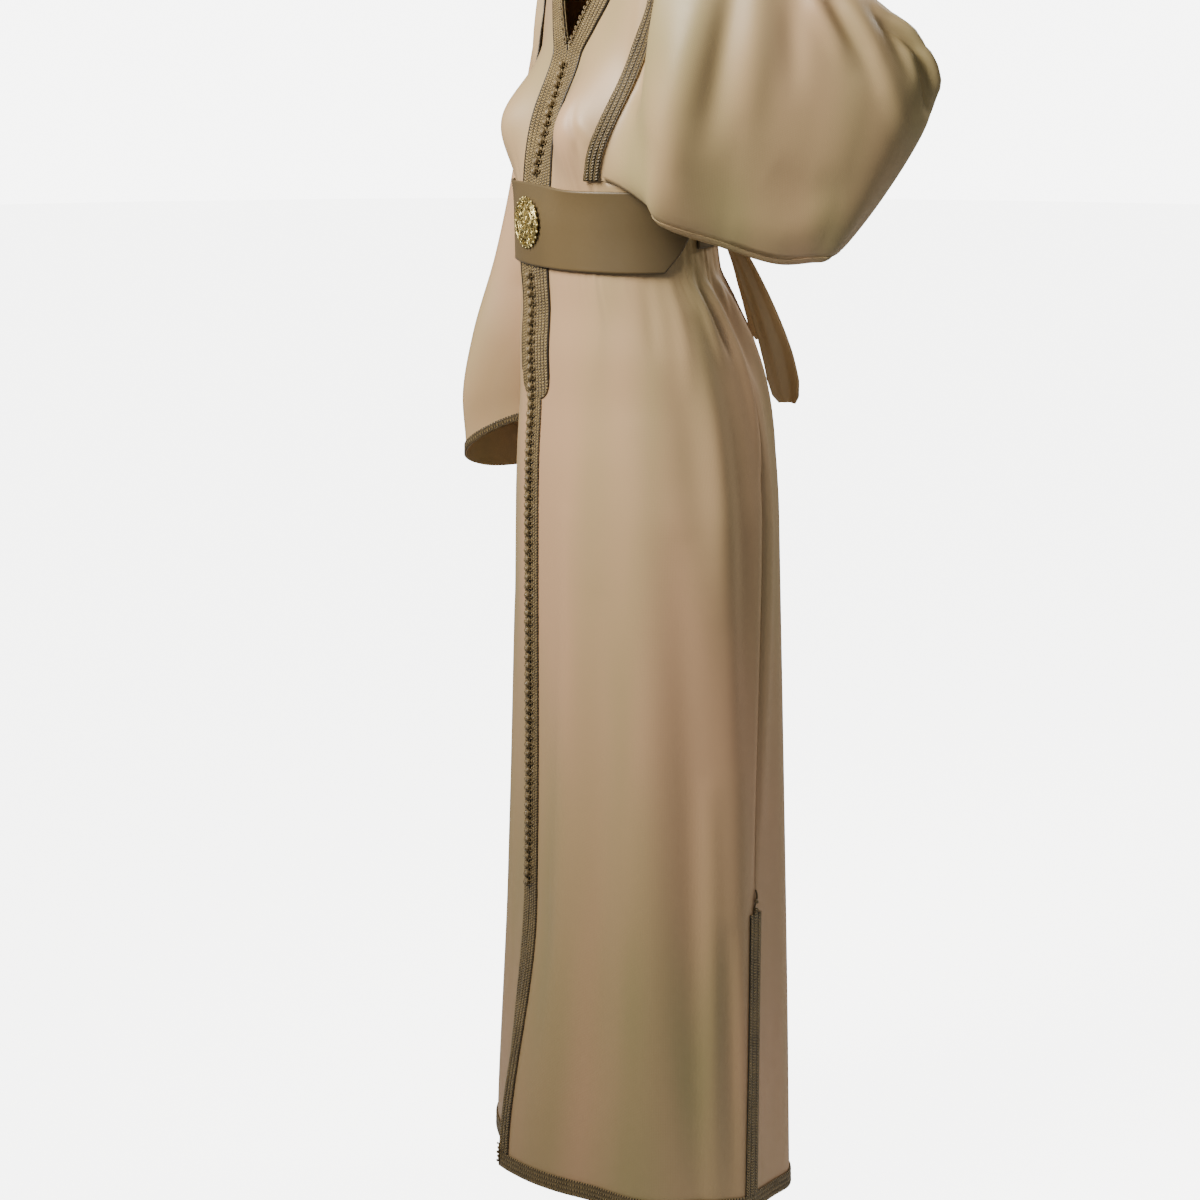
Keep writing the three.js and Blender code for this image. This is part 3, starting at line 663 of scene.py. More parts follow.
CLOTH_CREASES: tuple[tuple[Line, float, float], ...] = (
    # Left side, falling from the belt's end
    (((262, -356), (268, -400), (270, -450)), 8, 3.5),
    (((276, -354), (284, -400), (288, -440)), 6, -4.5),
    (((290, -354), (300, -410), (306, -480), (308, -560)), 9, 5.5),
    (((306, -356), (320, -400), (326, -470)), 8, -5),
    (((322, -354), (342, -400), (354, -460), (360, -540)), 11, 6),
    (((226, -358), (222, -400), (214, -470)), 9, 2.4),
    (((188, -358), (182, -396), (176, -440)), 9, -2.2),
    (((120, -358), (112, -400), (104, -460)), 11, 1.8),
    (((60, -620), (54, -900), (48, -1150), (44, -1374)), 15, 4.5),
    (((96, -700), (98, -980), (92, -1374)), 17, -4.0),
    (((140, -520), (150, -800), (152, -1374)), 24, 5.0),
    (((186, -640), (192, -900), (196, -1374)), 20, -4.4),
    (((236, -1060), (240, -1250), (242, -1380)), 13, -7),
    (((216, -900), (219, -1140), (217, -1380)), 12, 5),
    (((196, -440), (206, -520), (210, -640)), 22, -3.6),
    (((236, -400), (240, -520), (238, -700)), 17, 4.0),
    (((262, -430), (268, -640), (262, -860)), 15, -4),
    (((110, -196), (132, -222), (128, -246)), 7, 2.2),
    (((94, -182), (112, -216), (116, -244)), 5, -2.4),
    (((128, -60), (138, -120), (146, -180)), 10, 2.2),
    # Side seams, drawn in by their stitching
    (((304, -362), (312, -465), (304, -620), (278, -964), (272, -1036)), 3.4, -2.6),
    (((316, -380), (324, -480), (316, -640), (290, -940)), 8, 2.4),
    (((-304, -362), (-312, -465), (-304, -620), (-278, -964), (-272, -1036)), 3.4, -2.6),
    (((-316, -380), (-324, -480), (-316, -640), (-290, -940)), 8, 2.4),
    # Right side
    (((-262, -356), (-270, -410), (-272, -470)), 9, 3.8),
    (((-280, -354), (-286, -400), (-290, -450)), 7, -4.2),
    (((-296, -354), (-306, -420), (-310, -540)), 10, 5),
    (((-330, -354), (-346, -410), (-356, -500)), 12, 5),
    (((-200, -358), (-194, -410), (-186, -470)), 10, 2.2),
    (((-110, -358), (-104, -410), (-98, -480)), 11, 2),
    (((-70, -760), (-62, -960), (-56, -1374)), 20, 3.4),
    (((-170, -800), (-176, -1000), (-178, -1374)), 30, 3.4),
    (((-240, -1080), (-244, -1220), (-246, -1380)), 15, -6),
    (((-106, -192), (-126, -220), (-124, -246)), 7, 2.2),
    (((-130, -60), (-140, -120), (-148, -180)), 10, 2),
    # Back
    (((390, -354), (396, -420), (404, -520)), 12, -6),
    (((420, -354), (424, -430), (430, -600)), 13, 6),
    (((450, -354), (446, -440), (444, -560)), 10, -5),
    (((-396, -354), (-402, -430), (-408, -540)), 12, 6),
    (((-428, -354), (-432, -420), (-436, -520)), 11, -5),
    (((-456, -354), (-450, -450), (-448, -620)), 12, 5),
    (((360, -60), (352, -140), (340, -230)), 14, 3),
    (((-360, -60), (-350, -140), (-342, -230)), 14, 3),
    (((420, -110), (400, -170), (380, -240)), 10, -2.6),
    (((-420, -110), (-402, -170), (-384, -240)), 10, -2.6),
)


@dataclass
class Cloth(Body):
    """The body's surface with its soft creases and gathers."""

    degree: float = 2.6
    belt_lift: float = 1.9
    back_belt_lift: float = 0.9
    gather_lift: float = 0.85
    creases: tuple[Crease, ...] = tuple(Crease(*row) for row in CLOTH_CREASES)

    def gathers(self, angle: Grid, z: Grid) -> Grid:
        """Small uneven pleats where the belt draws the cloth in."""
        turn = angle * DEG
        wave = np.sin(67 * turn + 0.4) + 0.7 * np.sin(41 * turn + 1.7) + 0.5 * np.sin(103 * turn + 2.6)
        uneven = 0.55 + 0.45 * np.sin(9 * turn + 1.1) * np.sin(4 * turn - 0.6)
        side = 0.55 + 0.75 * smooth(70, 110, np.abs(angle))
        below = smooth(-418 + 10 * np.sin(13 * turn), -357, z) * (z < -300)
        above = smooth(-222 + 8 * np.sin(11 * turn), -256, z) * (z >= -300)
        away = smooth(4, 18, np.abs(angle))
        return self.gather_lift * wave * uneven * side * away * (below + above)

    def lift(self, angle: Grid, z: Grid) -> Grid:
        """All the soft forms at a place."""
        across = angle * self.degree
        total = self.gathers(angle, z)
        for crease in self.creases:
            total = total + crease.lift(across, z)
        return self.pressed(total, angle, z)

    def pressed(self, lift: Grid, angle: Grid, z: Grid) -> Grid:
        """Lift held down where the belt presses on the cloth."""
        limit = np.where(np.abs(angle) > 104, self.back_belt_lift, self.belt_lift)
        free = np.maximum(smooth(-259, -246, z), smooth(-357, -372, z))
        flat = np.clip(lift, -limit, limit)
        return flat + (lift - flat) * free

    def at(self, angle: Grid, row: Grid) -> tuple[Grid, Grid]:
        """Points and normals of the creased cloth.

        Args:
            angle: Degrees round from the front; past 180 they count on round the back.
            row: Rows down from the shoulder.

        Returns:
            Points and outward normals in millimetres.
        """
        angle, row = np.broadcast_arrays(np.asarray(angle, float), np.asarray(row, float))
        turned = within_half_turn(angle)
        normal = self.outward(turned, row)
        lift = self.lift(turned, self.height(row))
        return self.surface(turned, row) + normal * lift[..., None], normal


class NodeSheet:
    """Short calls that add and link shader nodes."""

    def __init__(self, tree: Tree) -> None:
        """Keep the tree and clear it."""
        self.tree = tree
        tree.nodes.clear()

    def feed(self, socket: Socket, value: object) -> None:
        """Link another socket to an input, or set its value."""
        if isinstance(value, Socket):
            self.tree.links.new(value, socket)
        else:
            socket.default_value = value

    def group(self, tree: Tree, *inputs: object) -> Node:
        """Place a shader group with its inputs in order."""
        node = self.add("ShaderNodeGroup", node_tree=tree)
        for socket, value in zip(node.inputs, inputs):
            self.feed(socket, value)
        return node

    def add(self, kind: str, **values: object) -> Node:
        """Add a node and set its properties and inputs.

        Args:
            kind: Node type.
            values: Properties by name, and inputs by name with an underscore before the number.

        Returns:
            The node.
        """
        node = self.tree.nodes.new(kind)
        for key, value in values.items():
            if key.startswith("in_"):
                self.feed(node.inputs[int(key[3:])], value)
            else:
                setattr(node, key, value)
        return node

    def math(
        self, operation: str, first: object, second: object = 0.0, third: object = 0.0
    ) -> Socket:
        """Add a Math node and give its result."""
        node = self.add("ShaderNodeMath", operation=operation, in_0=first, in_1=second, in_2=third)
        return node.outputs[0]

    def mix(self, share: object, first: object, second: object) -> Socket:
        """Mix two colours and give the result."""
        node = self.add("ShaderNodeMix", data_type="RGBA")
        for place, value in ((0, share), (6, first), (7, second)):
            self.feed(node.inputs[place], value)
        return node.outputs[2]

    def link(self, start: Socket, end: Socket) -> None:
        """Link two sockets."""
        self.tree.links.new(start, end)

    def ranged(self, share: object, low: float, high: float) -> Socket:
        """Turn a share from 0 to 1 into a value between two others."""
        return self.add("ShaderNodeMapRange", in_0=share, in_3=low, in_4=high).outputs[0]

    def bump(self, shader: Node, height: Socket, strength: float, depth: float) -> None:
        """Feed a height to a shader's normal, its depth in metres."""
        node = self.add("ShaderNodeBump", in_0=strength, in_1=depth)
        self.link(height, node.inputs["Height"])
        self.link(node.outputs[0], shader.inputs["Normal"])


def group_of(
    name: str, inputs: Sequence[tuple[str, str, object]], outputs: Sequence[tuple[str, str]]
) -> tuple[Tree, NodeSheet, Node, Node]:
    """Start a shader node group with named sockets.

    Args:
        name: Group name.
        inputs: Name, socket type and default of each input.
        outputs: Name and socket type of each output.

    Returns:
        The tree, its node sheet, its input node and its output node.
    """
    tree = bpy.data.node_groups.new(name, "ShaderNodeTree")
    for label, kind, default in inputs:
        socket = tree.interface.new_socket(name=label, in_out="INPUT", socket_type=kind)
        if default is not None:
            socket.default_value = default
    for label, kind in outputs:
        tree.interface.new_socket(name=label, in_out="OUTPUT", socket_type=kind)
    sheet = NodeSheet(tree)
    return tree, sheet, sheet.add("NodeGroupInput"), sheet.add("NodeGroupOutput")


class Effects:
    """The shader groups that several finishes share."""

    THREAD_HEIGHT = 0.04
    SLUB_HEIGHT = 0.05
    SLUB_STRETCH = (22.0, 1.6, 1.0)
    CRUMPLE_SCALE = 11.0
    SHAKE_SCALE = 38.0
    SHAKE = 0.5
    GROOVE_FROM = 0.62
    GROOVE_TO = 0.95
    TONE_FROM = 0.36
    TONE_TO = 0.64

    def __init__(self) -> None:
        """Build each group once."""
        self.weave = self.build_weave()
        self.plait = self.build_plait()
        self.tone = self.build_tone()

    def build_weave(self) -> Tree:
        """Fine warp and weft with a soft crumple, as a height."""
        tree, sheet, start, end = group_of(
            "fine_weave",
            [
                ("Cloth UV", "NodeSocketVector", None),
                ("Object", "NodeSocketVector", None),
                ("Threads", "NodeSocketFloat", 60.0),
                ("Crumple", "NodeSocketFloat", 0.5),
            ],
            [("Height", "NodeSocketFloat"), ("Slub", "NodeSocketFloat")],
        )
        split = sheet.add("ShaderNodeSeparateXYZ", in_0=start.outputs[0])
        pace = sheet.math("MULTIPLY", start.outputs[2], FULL_TURN)
        warp = sheet.math("SINE", sheet.math("MULTIPLY", split.outputs[0], pace))
        weft = sheet.math("SINE", sheet.math("MULTIPLY", split.outputs[1], pace))
        threads = sheet.math("MULTIPLY", sheet.math("ADD", warp, weft), self.THREAD_HEIGHT)
        stretch = sheet.add("ShaderNodeMapping", in_0=start.outputs[0], in_3=self.SLUB_STRETCH)
        slub = sheet.add("ShaderNodeTexNoise", in_0=stretch.outputs[0], in_2=1.0, in_3=3.0)
        soft = sheet.add(
            "ShaderNodeTexNoise", in_0=start.outputs[1], in_2=self.CRUMPLE_SCALE, in_3=2.0, in_8=0.4
        )
        crumple = sheet.math("MULTIPLY", soft.outputs[0], start.outputs[3])
        slubs = sheet.math("MULTIPLY", slub.outputs[0], self.SLUB_HEIGHT)
        height = sheet.math("ADD", threads, sheet.math("ADD", crumple, slubs))
        sheet.link(height, end.inputs[0])
        sheet.link(slub.outputs[0], end.inputs[1])
        return tree

    def build_plait(self) -> Tree:
        """Rows of plaited chevrons along a braid, as a height, a groove mask that the finishes darken with
        painted shade, and a crest wave that they lighten with painted highlight and make smoother.
        """
        tree, sheet, start, end = group_of(
            "plaited_rows",
            [
                ("Cloth UV", "NodeSocketVector", None),
                ("Rows", "NodeSocketFloat", 16.0),
                ("Stitches", "NodeSocketFloat", 42.0),
                ("Slant", "NodeSocketFloat", 0.9),
            ],
            [("Height", "NodeSocketFloat"), ("Groove", "NodeSocketFloat"), ("Thread", "NodeSocketFloat")],
        )
        rough = sheet.add("ShaderNodeTexNoise", in_0=start.outputs[0], in_2=self.SHAKE_SCALE, in_3=1.0)
        shake = sheet.math("MULTIPLY_ADD", rough.outputs[0], self.SHAKE, -self.SHAKE / 2)
        split = sheet.add("ShaderNodeSeparateXYZ", in_0=start.outputs[0])
        across = sheet.math("MULTIPLY", split.outputs[0], start.outputs[1])
        part = sheet.math("FRACT", across)
        away = sheet.math("MULTIPLY", sheet.math("ABSOLUTE", sheet.math("SUBTRACT", part, 0.5)), 2.0)
        along = sheet.math("MULTIPLY_ADD", split.outputs[1], start.outputs[2], shake)
        slant = sheet.math("MULTIPLY", away, start.outputs[3])
        phase = sheet.math("MULTIPLY", sheet.math("ADD", along, slant), FULL_TURN)
        wave = sheet.math("MULTIPLY_ADD", sheet.math("SINE", phase), 0.5, 0.5)
        groove = sheet.add("ShaderNodeMapRange", in_0=away, in_1=self.GROOVE_FROM, in_2=self.GROOVE_TO)
        ridge = sheet.math("SUBTRACT", 1.0, groove.outputs[0])
        sheet.link(sheet.math("MULTIPLY", sheet.math("MULTIPLY_ADD", wave, 0.7, 0.3), ridge), end.inputs[0])
        sheet.link(groove.outputs[0], end.inputs[1])
        sheet.link(wave, end.inputs[2])
        return tree

    def build_tone(self) -> Tree:
        """Slow drift of tone over a piece, as a mask."""
        tree, sheet, start, end = group_of(
            "slow_tone",
            [("Object", "NodeSocketVector", None), ("Size", "NodeSocketFloat", 2.2)],
            [("Mask", "NodeSocketFloat")],
        )
        noise = sheet.add("ShaderNodeTexNoise", in_0=start.outputs[0], in_2=start.outputs[1], in_3=2.0)
        mask = sheet.add("ShaderNodeMapRange", in_0=noise.outputs[0], in_1=self.TONE_FROM, in_2=self.TONE_TO)
        sheet.link(mask.outputs[0], end.inputs[0])
        return tree


@dataclass(frozen=True)
class Satin:
    """Heavy satin: smooth, with a soft highlight along the weave."""

    name: str = "satin"
    # light and deep are mixed in slow, tall bands: partly random tone, partly painted satin reflection.
    light: Colour = (0.50, 0.315, 0.18, 1)
    deep: Colour = (0.345, 0.27, 0.128, 1)
    roughness: float = 0.45
    sheen: float = 0.05
    crumple: float = 0.5
    threads: float = 60.0
    height: float = 0.0009
    bump: float = 0.35
    tone_scale: float = 7.0
    tone_and_reflection_height: float = 0.22
    rough_spread: float = 0.05
    sheen_roughness: float = 0.45
    sheen_tint: Colour = (1.0, 0.9, 0.78, 1)
    anisotropy: float = 0.35

    def build(self, effects: Effects) -> Material:
        """Make the material.

        Args:
            effects: Shared shader groups.

        Returns:
            The finished material.
        """
        material, sheet, shader = plain_surface(self.name)
        uv = sheet.add("ShaderNodeUVMap").outputs[0]
        place = sheet.add("ShaderNodeTexCoord").outputs["Object"]
        tall = sheet.add("ShaderNodeMapping", in_0=place, in_3=(1.0, 1.0, self.tone_and_reflection_height)).outputs[0]
        tone = sheet.group(effects.tone, tall, self.tone_scale).outputs[0]
        weave = sheet.group(effects.weave, uv, place, self.threads, self.crumple)
        # Painted reflection: tall bands of light and deep colour stand partly for the satin's reflection
        # bands and partly for random tone.
        sheet.link(sheet.mix(tone, self.light, self.deep), shader.inputs["Base Color"])
        smoothest = self.roughness - self.rough_spread
        rough = sheet.ranged(weave.outputs[1], smoothest, self.roughness + self.rough_spread)
        sheet.link(rough, shader.inputs["Roughness"])
        sheet.bump(shader, weave.outputs[0], self.bump, self.height)
        shader.inputs["Sheen Weight"].default_value = self.sheen
        shader.inputs["Sheen Roughness"].default_value = self.sheen_roughness
        shader.inputs["Sheen Tint"].default_value = self.sheen_tint
        shader.inputs["Anisotropic"].default_value = self.anisotropy
        return material


@dataclass(frozen=True)
class Plait:
    """Braid of plaited silk cords in rows, with painted highlight on each crest and painted shade in the
    grooves.
    """

    name: str
    # light is painted on the crests of the threads as highlight; dark lies between the crests.
    light: Colour
    dark: Colour
    rows: float
    stitches: float
    slant: float = 0.9
    roughness: float = 0.5
    height: float = 0.0008
    # Share of the dark colour left in the grooves, as painted shade.
    groove: float = 0.3
    bump: float = 0.9
    tone_scale: float = 30.0
    # How tightly the painted highlight gathers on each crest.
    crest: float = 2.0
    tone_share: float = 0.15
    rough_spread: float = 0.1

    def build(self, effects: Effects) -> Material:
        """Make the material.

        Args:
            effects: Shared shader groups.

        Returns:
            The finished material.
        """
        material, sheet, shader = plain_surface(self.name)
        uv = sheet.add("ShaderNodeUVMap").outputs[0]
        place = sheet.add("ShaderNodeTexCoord").outputs["Object"]
        plait = sheet.group(effects.plait, uv, self.rows, self.stitches, self.slant)
        tone = sheet.group(effects.tone, place, self.tone_scale).outputs[0]
        # Painted highlight: the light colour gathers on each crest of the threads, mixed with a little random
        # tone drift.
        crest = sheet.math("POWER", plait.outputs[2], self.crest)
        drift = sheet.math("MULTIPLY", tone, self.tone_share)
        crest_highlight_and_tone = sheet.math("MULTIPLY_ADD", crest, 1 - self.tone_share, drift)
        colour = sheet.mix(crest_highlight_and_tone, self.dark, self.light)
        # Painted shade: the grooves between the rows take the dark colour, scaled down.
        shade = tuple(value * self.groove for value in self.dark[:3]) + (1.0,)
        sheet.link(sheet.mix(plait.outputs[1], colour, shade), shader.inputs["Base Color"])
        roughest = self.roughness + self.rough_spread
        rough = sheet.ranged(plait.outputs[2], roughest, self.roughness - self.rough_spread)
        sheet.link(rough, shader.inputs["Roughness"])
        sheet.bump(shader, plait.outputs[0], self.bump, self.height)
        return material


@dataclass(frozen=True)
class Brass:
    """Gilt metal, its colour drifting at random between dull and bright."""

    name: str = "gilt"
    bright: Colour = (0.80, 0.68, 0.31, 1)
    dull: Colour = (0.16, 0.11, 0.03, 1)
    roughness: float = 0.34
    rough_spread: float = 0.14
    tone_scale: float = 210.0
    grain_scale: float = 900.0
    grain: float = 0.3
    height: float = 0.0003
    metallic: float = 0.85

    def build(self, effects: Effects) -> Material:
        """Make the material.

        Args:
            effects: Shared shader groups.

        Returns:
            The finished material.
        """
        material, sheet, shader = plain_surface(self.name)
        place = sheet.add("ShaderNodeTexCoord").outputs["Object"]
        tone = sheet.group(effects.tone, place, self.tone_scale).outputs[0]
        sheet.link(sheet.mix(tone, self.dull, self.bright), shader.inputs["Base Color"])
        rough = sheet.ranged(tone, self.roughness + self.rough_spread, self.roughness)
        sheet.link(rough, shader.inputs["Roughness"])
        grain = sheet.add("ShaderNodeTexNoise", in_0=place, in_2=self.grain_scale, in_3=2.0)
        sheet.bump(shader, grain.outputs[0], self.grain, self.height)
        shader.inputs["Metallic"].default_value = self.metallic
        return material


@dataclass(frozen=True)
class Stage:
    """Pale matt ground."""

    name: str = "pale_ground"
    colour: Colour = (0.9, 0.9, 0.89, 1)
    glow: float = 6.5

    def build(self) -> Material:
        """Make the material.

        Returns:
            The finished material.
        """
        material, sheet, shader = plain_surface(self.name)
        place = sheet.add("ShaderNodeTexCoord").outputs["Object"]
        noise = sheet.add("ShaderNodeTexNoise", in_0=place, in_2=3.0)
        sheet.link(sheet.ranged(noise.outputs[0], 0.8, 0.9), shader.inputs["Roughness"])
        seen = sheet.add("ShaderNodeLightPath").outputs["Is Camera Ray"]
        sheet.link(sheet.math("MULTIPLY", seen, self.glow), shader.inputs["Emission Strength"])
        shader.inputs["Base Color"].default_value = self.colour
        shader.inputs["Emission Color"].default_value = self.colour
        return material


def plain_surface(name: str) -> tuple[Material, NodeSheet, Node]:
    """Start a material with one Principled shader.

    Args:
        name: Material name.

    Returns:
        The material, its node sheet and the shader.
    """
    material = bpy.data.materials.new(name)
    material.use_nodes = True
    sheet = NodeSheet(material.node_tree)
    shader = sheet.add("ShaderNodeBsdfPrincipled")
    output = sheet.add("ShaderNodeOutputMaterial")
    sheet.link(shader.outputs[0], output.inputs[0])
    return material, sheet, shader


class Finishes:
    """Every material, made once."""

    def __init__(self) -> None:
        """Build the shared groups, then each finish."""
        effects = Effects()
        self.satin = Satin().build(effects)
        # The belt and the sash take the same tall bands of random tone and painted reflection as the satin.
        self.belt = Satin(
            name="belt_cloth",
            light=(0.115, 0.078, 0.032, 1),
            deep=(0.085, 0.059, 0.023, 1),
            roughness=0.5,
            crumple=0.15,
            threads=90.0,
        ).build(effects)
        self.sash = Satin(
            name="sash_satin",
            light=(0.56, 0.40, 0.22, 1),
            deep=(0.40, 0.29, 0.14, 1),
            roughness=0.38,
            crumple=0.8,
        ).build(effects)
        gold = (0.42, 0.30, 0.13, 1)
        umber = (0.05, 0.034, 0.014, 1)
        self.band = Plait("band_plait", gold, umber, 13.9, 32.0, height=0.0014).build(effects)
        self.trim = Plait("trim_plait", gold, umber, 16.7, 32.0, height=0.0014).build(effects)
        dark = (0.04, 0.027, 0.011, 1)
        olive = (0.26, 0.19, 0.085, 1)
        self.seam_braid = Plait("seam_plait", olive, dark, 18.75, 30.0, height=0.0012).build(effects)
        self.cuff = Plait("cuff_plait", olive, dark, 30.0, 18.0).build(effects)
        self.hem = Plait("hem_plait", gold, umber, 30.0, 18.0).build(effects)
        knot_dark = (0.10, 0.068, 0.029, 1)
        knot_gold = (0.42, 0.31, 0.15, 1)
        knotted = Plait("button_cord", knot_gold, knot_dark, 8.0, 30.0, 0.9, 0.32, 0.0003, 0.6)
        self.cord = knotted.build(effects)
        self.piping = Plait("piping", (0.11, 0.075, 0.032, 1), umber, 1.0, 60.0, height=0.0003).build(effects)
        self.gilt = Brass().build(effects)
        self.ground = Stage().build()


def finish_piece(
    piece: Piece, material: Material, slot: str, *nodes: str
) -> Piece:
    """Give a piece its material and its body, and hide the parts of the frame that it replaces.

    Args:
        piece: The piece.
        material: Its only material.
        slot: Not used.
        nodes: Nodes that it replaces.

    Returns:
        The piece.
    """
    piece.data.materials.clear()
    piece.data.materials.append(material)
    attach(piece, "root")
    if nodes:
        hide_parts(*nodes)
    return piece


def joined(name: str, parts: Sequence[Piece]) -> Piece:
    """Join parts into one piece.

    Args:
        name: Name of the piece.
        parts: Parts, all meshes.

    Returns:
        The joined piece.
    """
    clear_selection()
    for part in parts:
        part.select_set(True)
    bpy.context.view_layer.objects.active = parts[0]
    bpy.ops.object.join()
    piece = bpy.context.object
    piece.name = name
    piece.data.name = name
    return piece


def copy_of(piece: Piece, place: Sequence[float], scale: float = 1.0) -> Piece:
    """Copy a piece with its own mesh, moved by a place in metres.

    Args:
        piece: The first one, its place already in its mesh.
        place: Move in metres.
        scale: Size beside the first.

    Returns:
        The copy, with its place in its mesh.
    """
    select_only(piece)
    bpy.ops.object.duplicate(linked=False)
    twin = bpy.context.object
    twin.location = place
    twin.scale = (scale, scale, scale)
    settle(twin)
    return twin


def declare(piece: Piece, sheets: Sequence[Sheet]) -> None:
    """Log a sheet's flat size and area, measured on its own grids.

    Args:
        piece: The cloth.
        sheets: Its grids, side by side.
    """
    width = sum(sheet.spans()[0] for sheet in sheets)
    length = max(sheet.spans()[1] for sheet in sheets)
    area = sum(sheet.area() for sheet in sheets)
    LOG.info("%s cut %.3f x %.3f m, %.3f m2", piece.name, width, length, area)


def cloth_rows(count: int, last: float) -> Grid:
    """Rows from the shoulder down, closer where the shoulder and the underarm turn.

    Args:
        count: How many.
        last: The lowest row.

    Returns:
        Row values.
    """
    share = np.linspace(0, 1, count)
    rows = np.interp(share, [0, 0.03, 0.3, 1], [0, 0.1, 1.0, last])
    return np.where(share < 0.03, 0.1 * (share / 0.03) ** 1.7, rows)


@dataclass
class Panels:
    """The two front panels and the back, with their outer edges 0.3 mm apart."""

    cloth: Cloth
    finishes: Finishes
    thick: float = 1.2
    half_gap: float = 0.15
    degree: float = 2.4
    rows: int = 250
    front_columns: int = 74
    back_columns: int = 110
    side_columns: int = 36
    back_side_columns: int = 14
    settle_depth: float = 40.0

    def laid(self, angle: Grid, row: Grid) -> Sheet:
        """A sheet at angles and rows, its UV by angle and height."""
        row = np.broadcast_to(row, angle.shape)
        points, normals = self.cloth.at(angle, row)
        uv = np.stack([angle * self.cloth.degree, -points[..., 2]], axis=-1)
        return Sheet(points, normals, False, uv)

    def under_arm(self, row: Grid, start: float, seam: Grid, columns: int, side: int) -> Sheet:
        """The part of a panel below its armhole, out to the side seam.

        Args:
            row: Rows from the underarm down.
            start: Angle of the armhole's lowest corner.
            seam: Angle of the side seam at each row.
            columns: How many columns.
            side: 1 for the garment's left, -1 for its right.

        Returns:
            The part, its first column at the corner.
        """
        share = 1 - (1 - np.linspace(0, 1, columns)) ** 1.3
        angle = start + (seam - start)[:, None] * share
        dip = self.cloth.armhole_drop * (1 - np.sqrt(1 - share**2))
        near = np.clip(1 - (row - 1) * 1000 / self.settle_depth, 0, 1)
        rows = row[:, None] + dip * near[:, None] / 1000
        return self.laid(side * angle, rows)

    def panel_rows(self) -> Grid:
        """Rows from the shoulder to the hem, one of them at the underarm."""
        row = cloth_rows(self.rows, self.cloth.row(self.cloth.hem_z))
        row[np.argmin(np.abs(row - 1))] = 1.0
        return row

    def armhole_edge(self, row: Grid, front: bool) -> tuple[float, Grid]:
        """Angle of the armhole's lowest corner, and of a panel's main part's edge at each row."""
        corner = float(self.cloth.outer_edge(1.0, front))
        return corner, np.where(row <= 1, self.cloth.outer_edge(np.minimum(row, 1), front), corner)

    def front(self, side: Side) -> list[Sheet]:
        """Grids of a front panel: the main part and the part below the armhole."""
        row = self.panel_rows()
        start = self.cloth.inner_edge(row)
        corner, end = self.armhole_edge(row, True)
        share = np.linspace(0, 1, self.front_columns)
        main = self.laid(side.value * (start[:, None] + (end - start)[:, None] * share), row[:, None])
        main.points[0, :, 1] -= self.half_gap
        low = row[row >= 1]
        seam = self.cloth.seam(self.cloth.height(low)) - self.half_gap / self.degree
        return [main, self.under_arm(low, corner, seam, self.side_columns, side.value)]

    def back(self) -> list[Sheet]:
        """Grids of the back: the middle and the part below each armhole."""
        row = self.panel_rows()
        corner, edge = self.armhole_edge(row, False)
        share = np.linspace(0, 1, self.back_columns)
        main = self.laid(edge[:, None] + (360 - 2 * edge)[:, None] * share, row[:, None])
        main.points[0, :, 1] += self.half_gap
        low = row[row >= 1]
        seam = self.cloth.seam(self.cloth.height(low)) + self.half_gap / self.degree
        parts = [main]
        for side in Side:
            parts.append(self.under_arm(low, corner, seam, self.back_side_columns, side.value))
        return parts

    def build(self) -> list[Piece]:
        """Model the panels.

        Returns:
            The pieces.
        """
        made = []
        for side in Side:
            label = side.label
            sheets = self.front(side)
            piece = lay_parts(f"satin_front_{label}", sheets, self.thick)
            finish_piece(piece, self.finishes.satin, "satin", f"front_{label}")
            declare(piece, sheets)
            made.append(piece)
        sheets = self.back()
        piece = lay_parts("satin_back", sheets, self.thick)
        finish_piece(piece, self.finishes.satin, "satin", "back")
        declare(piece, sheets)
        made.append(piece)
        return made


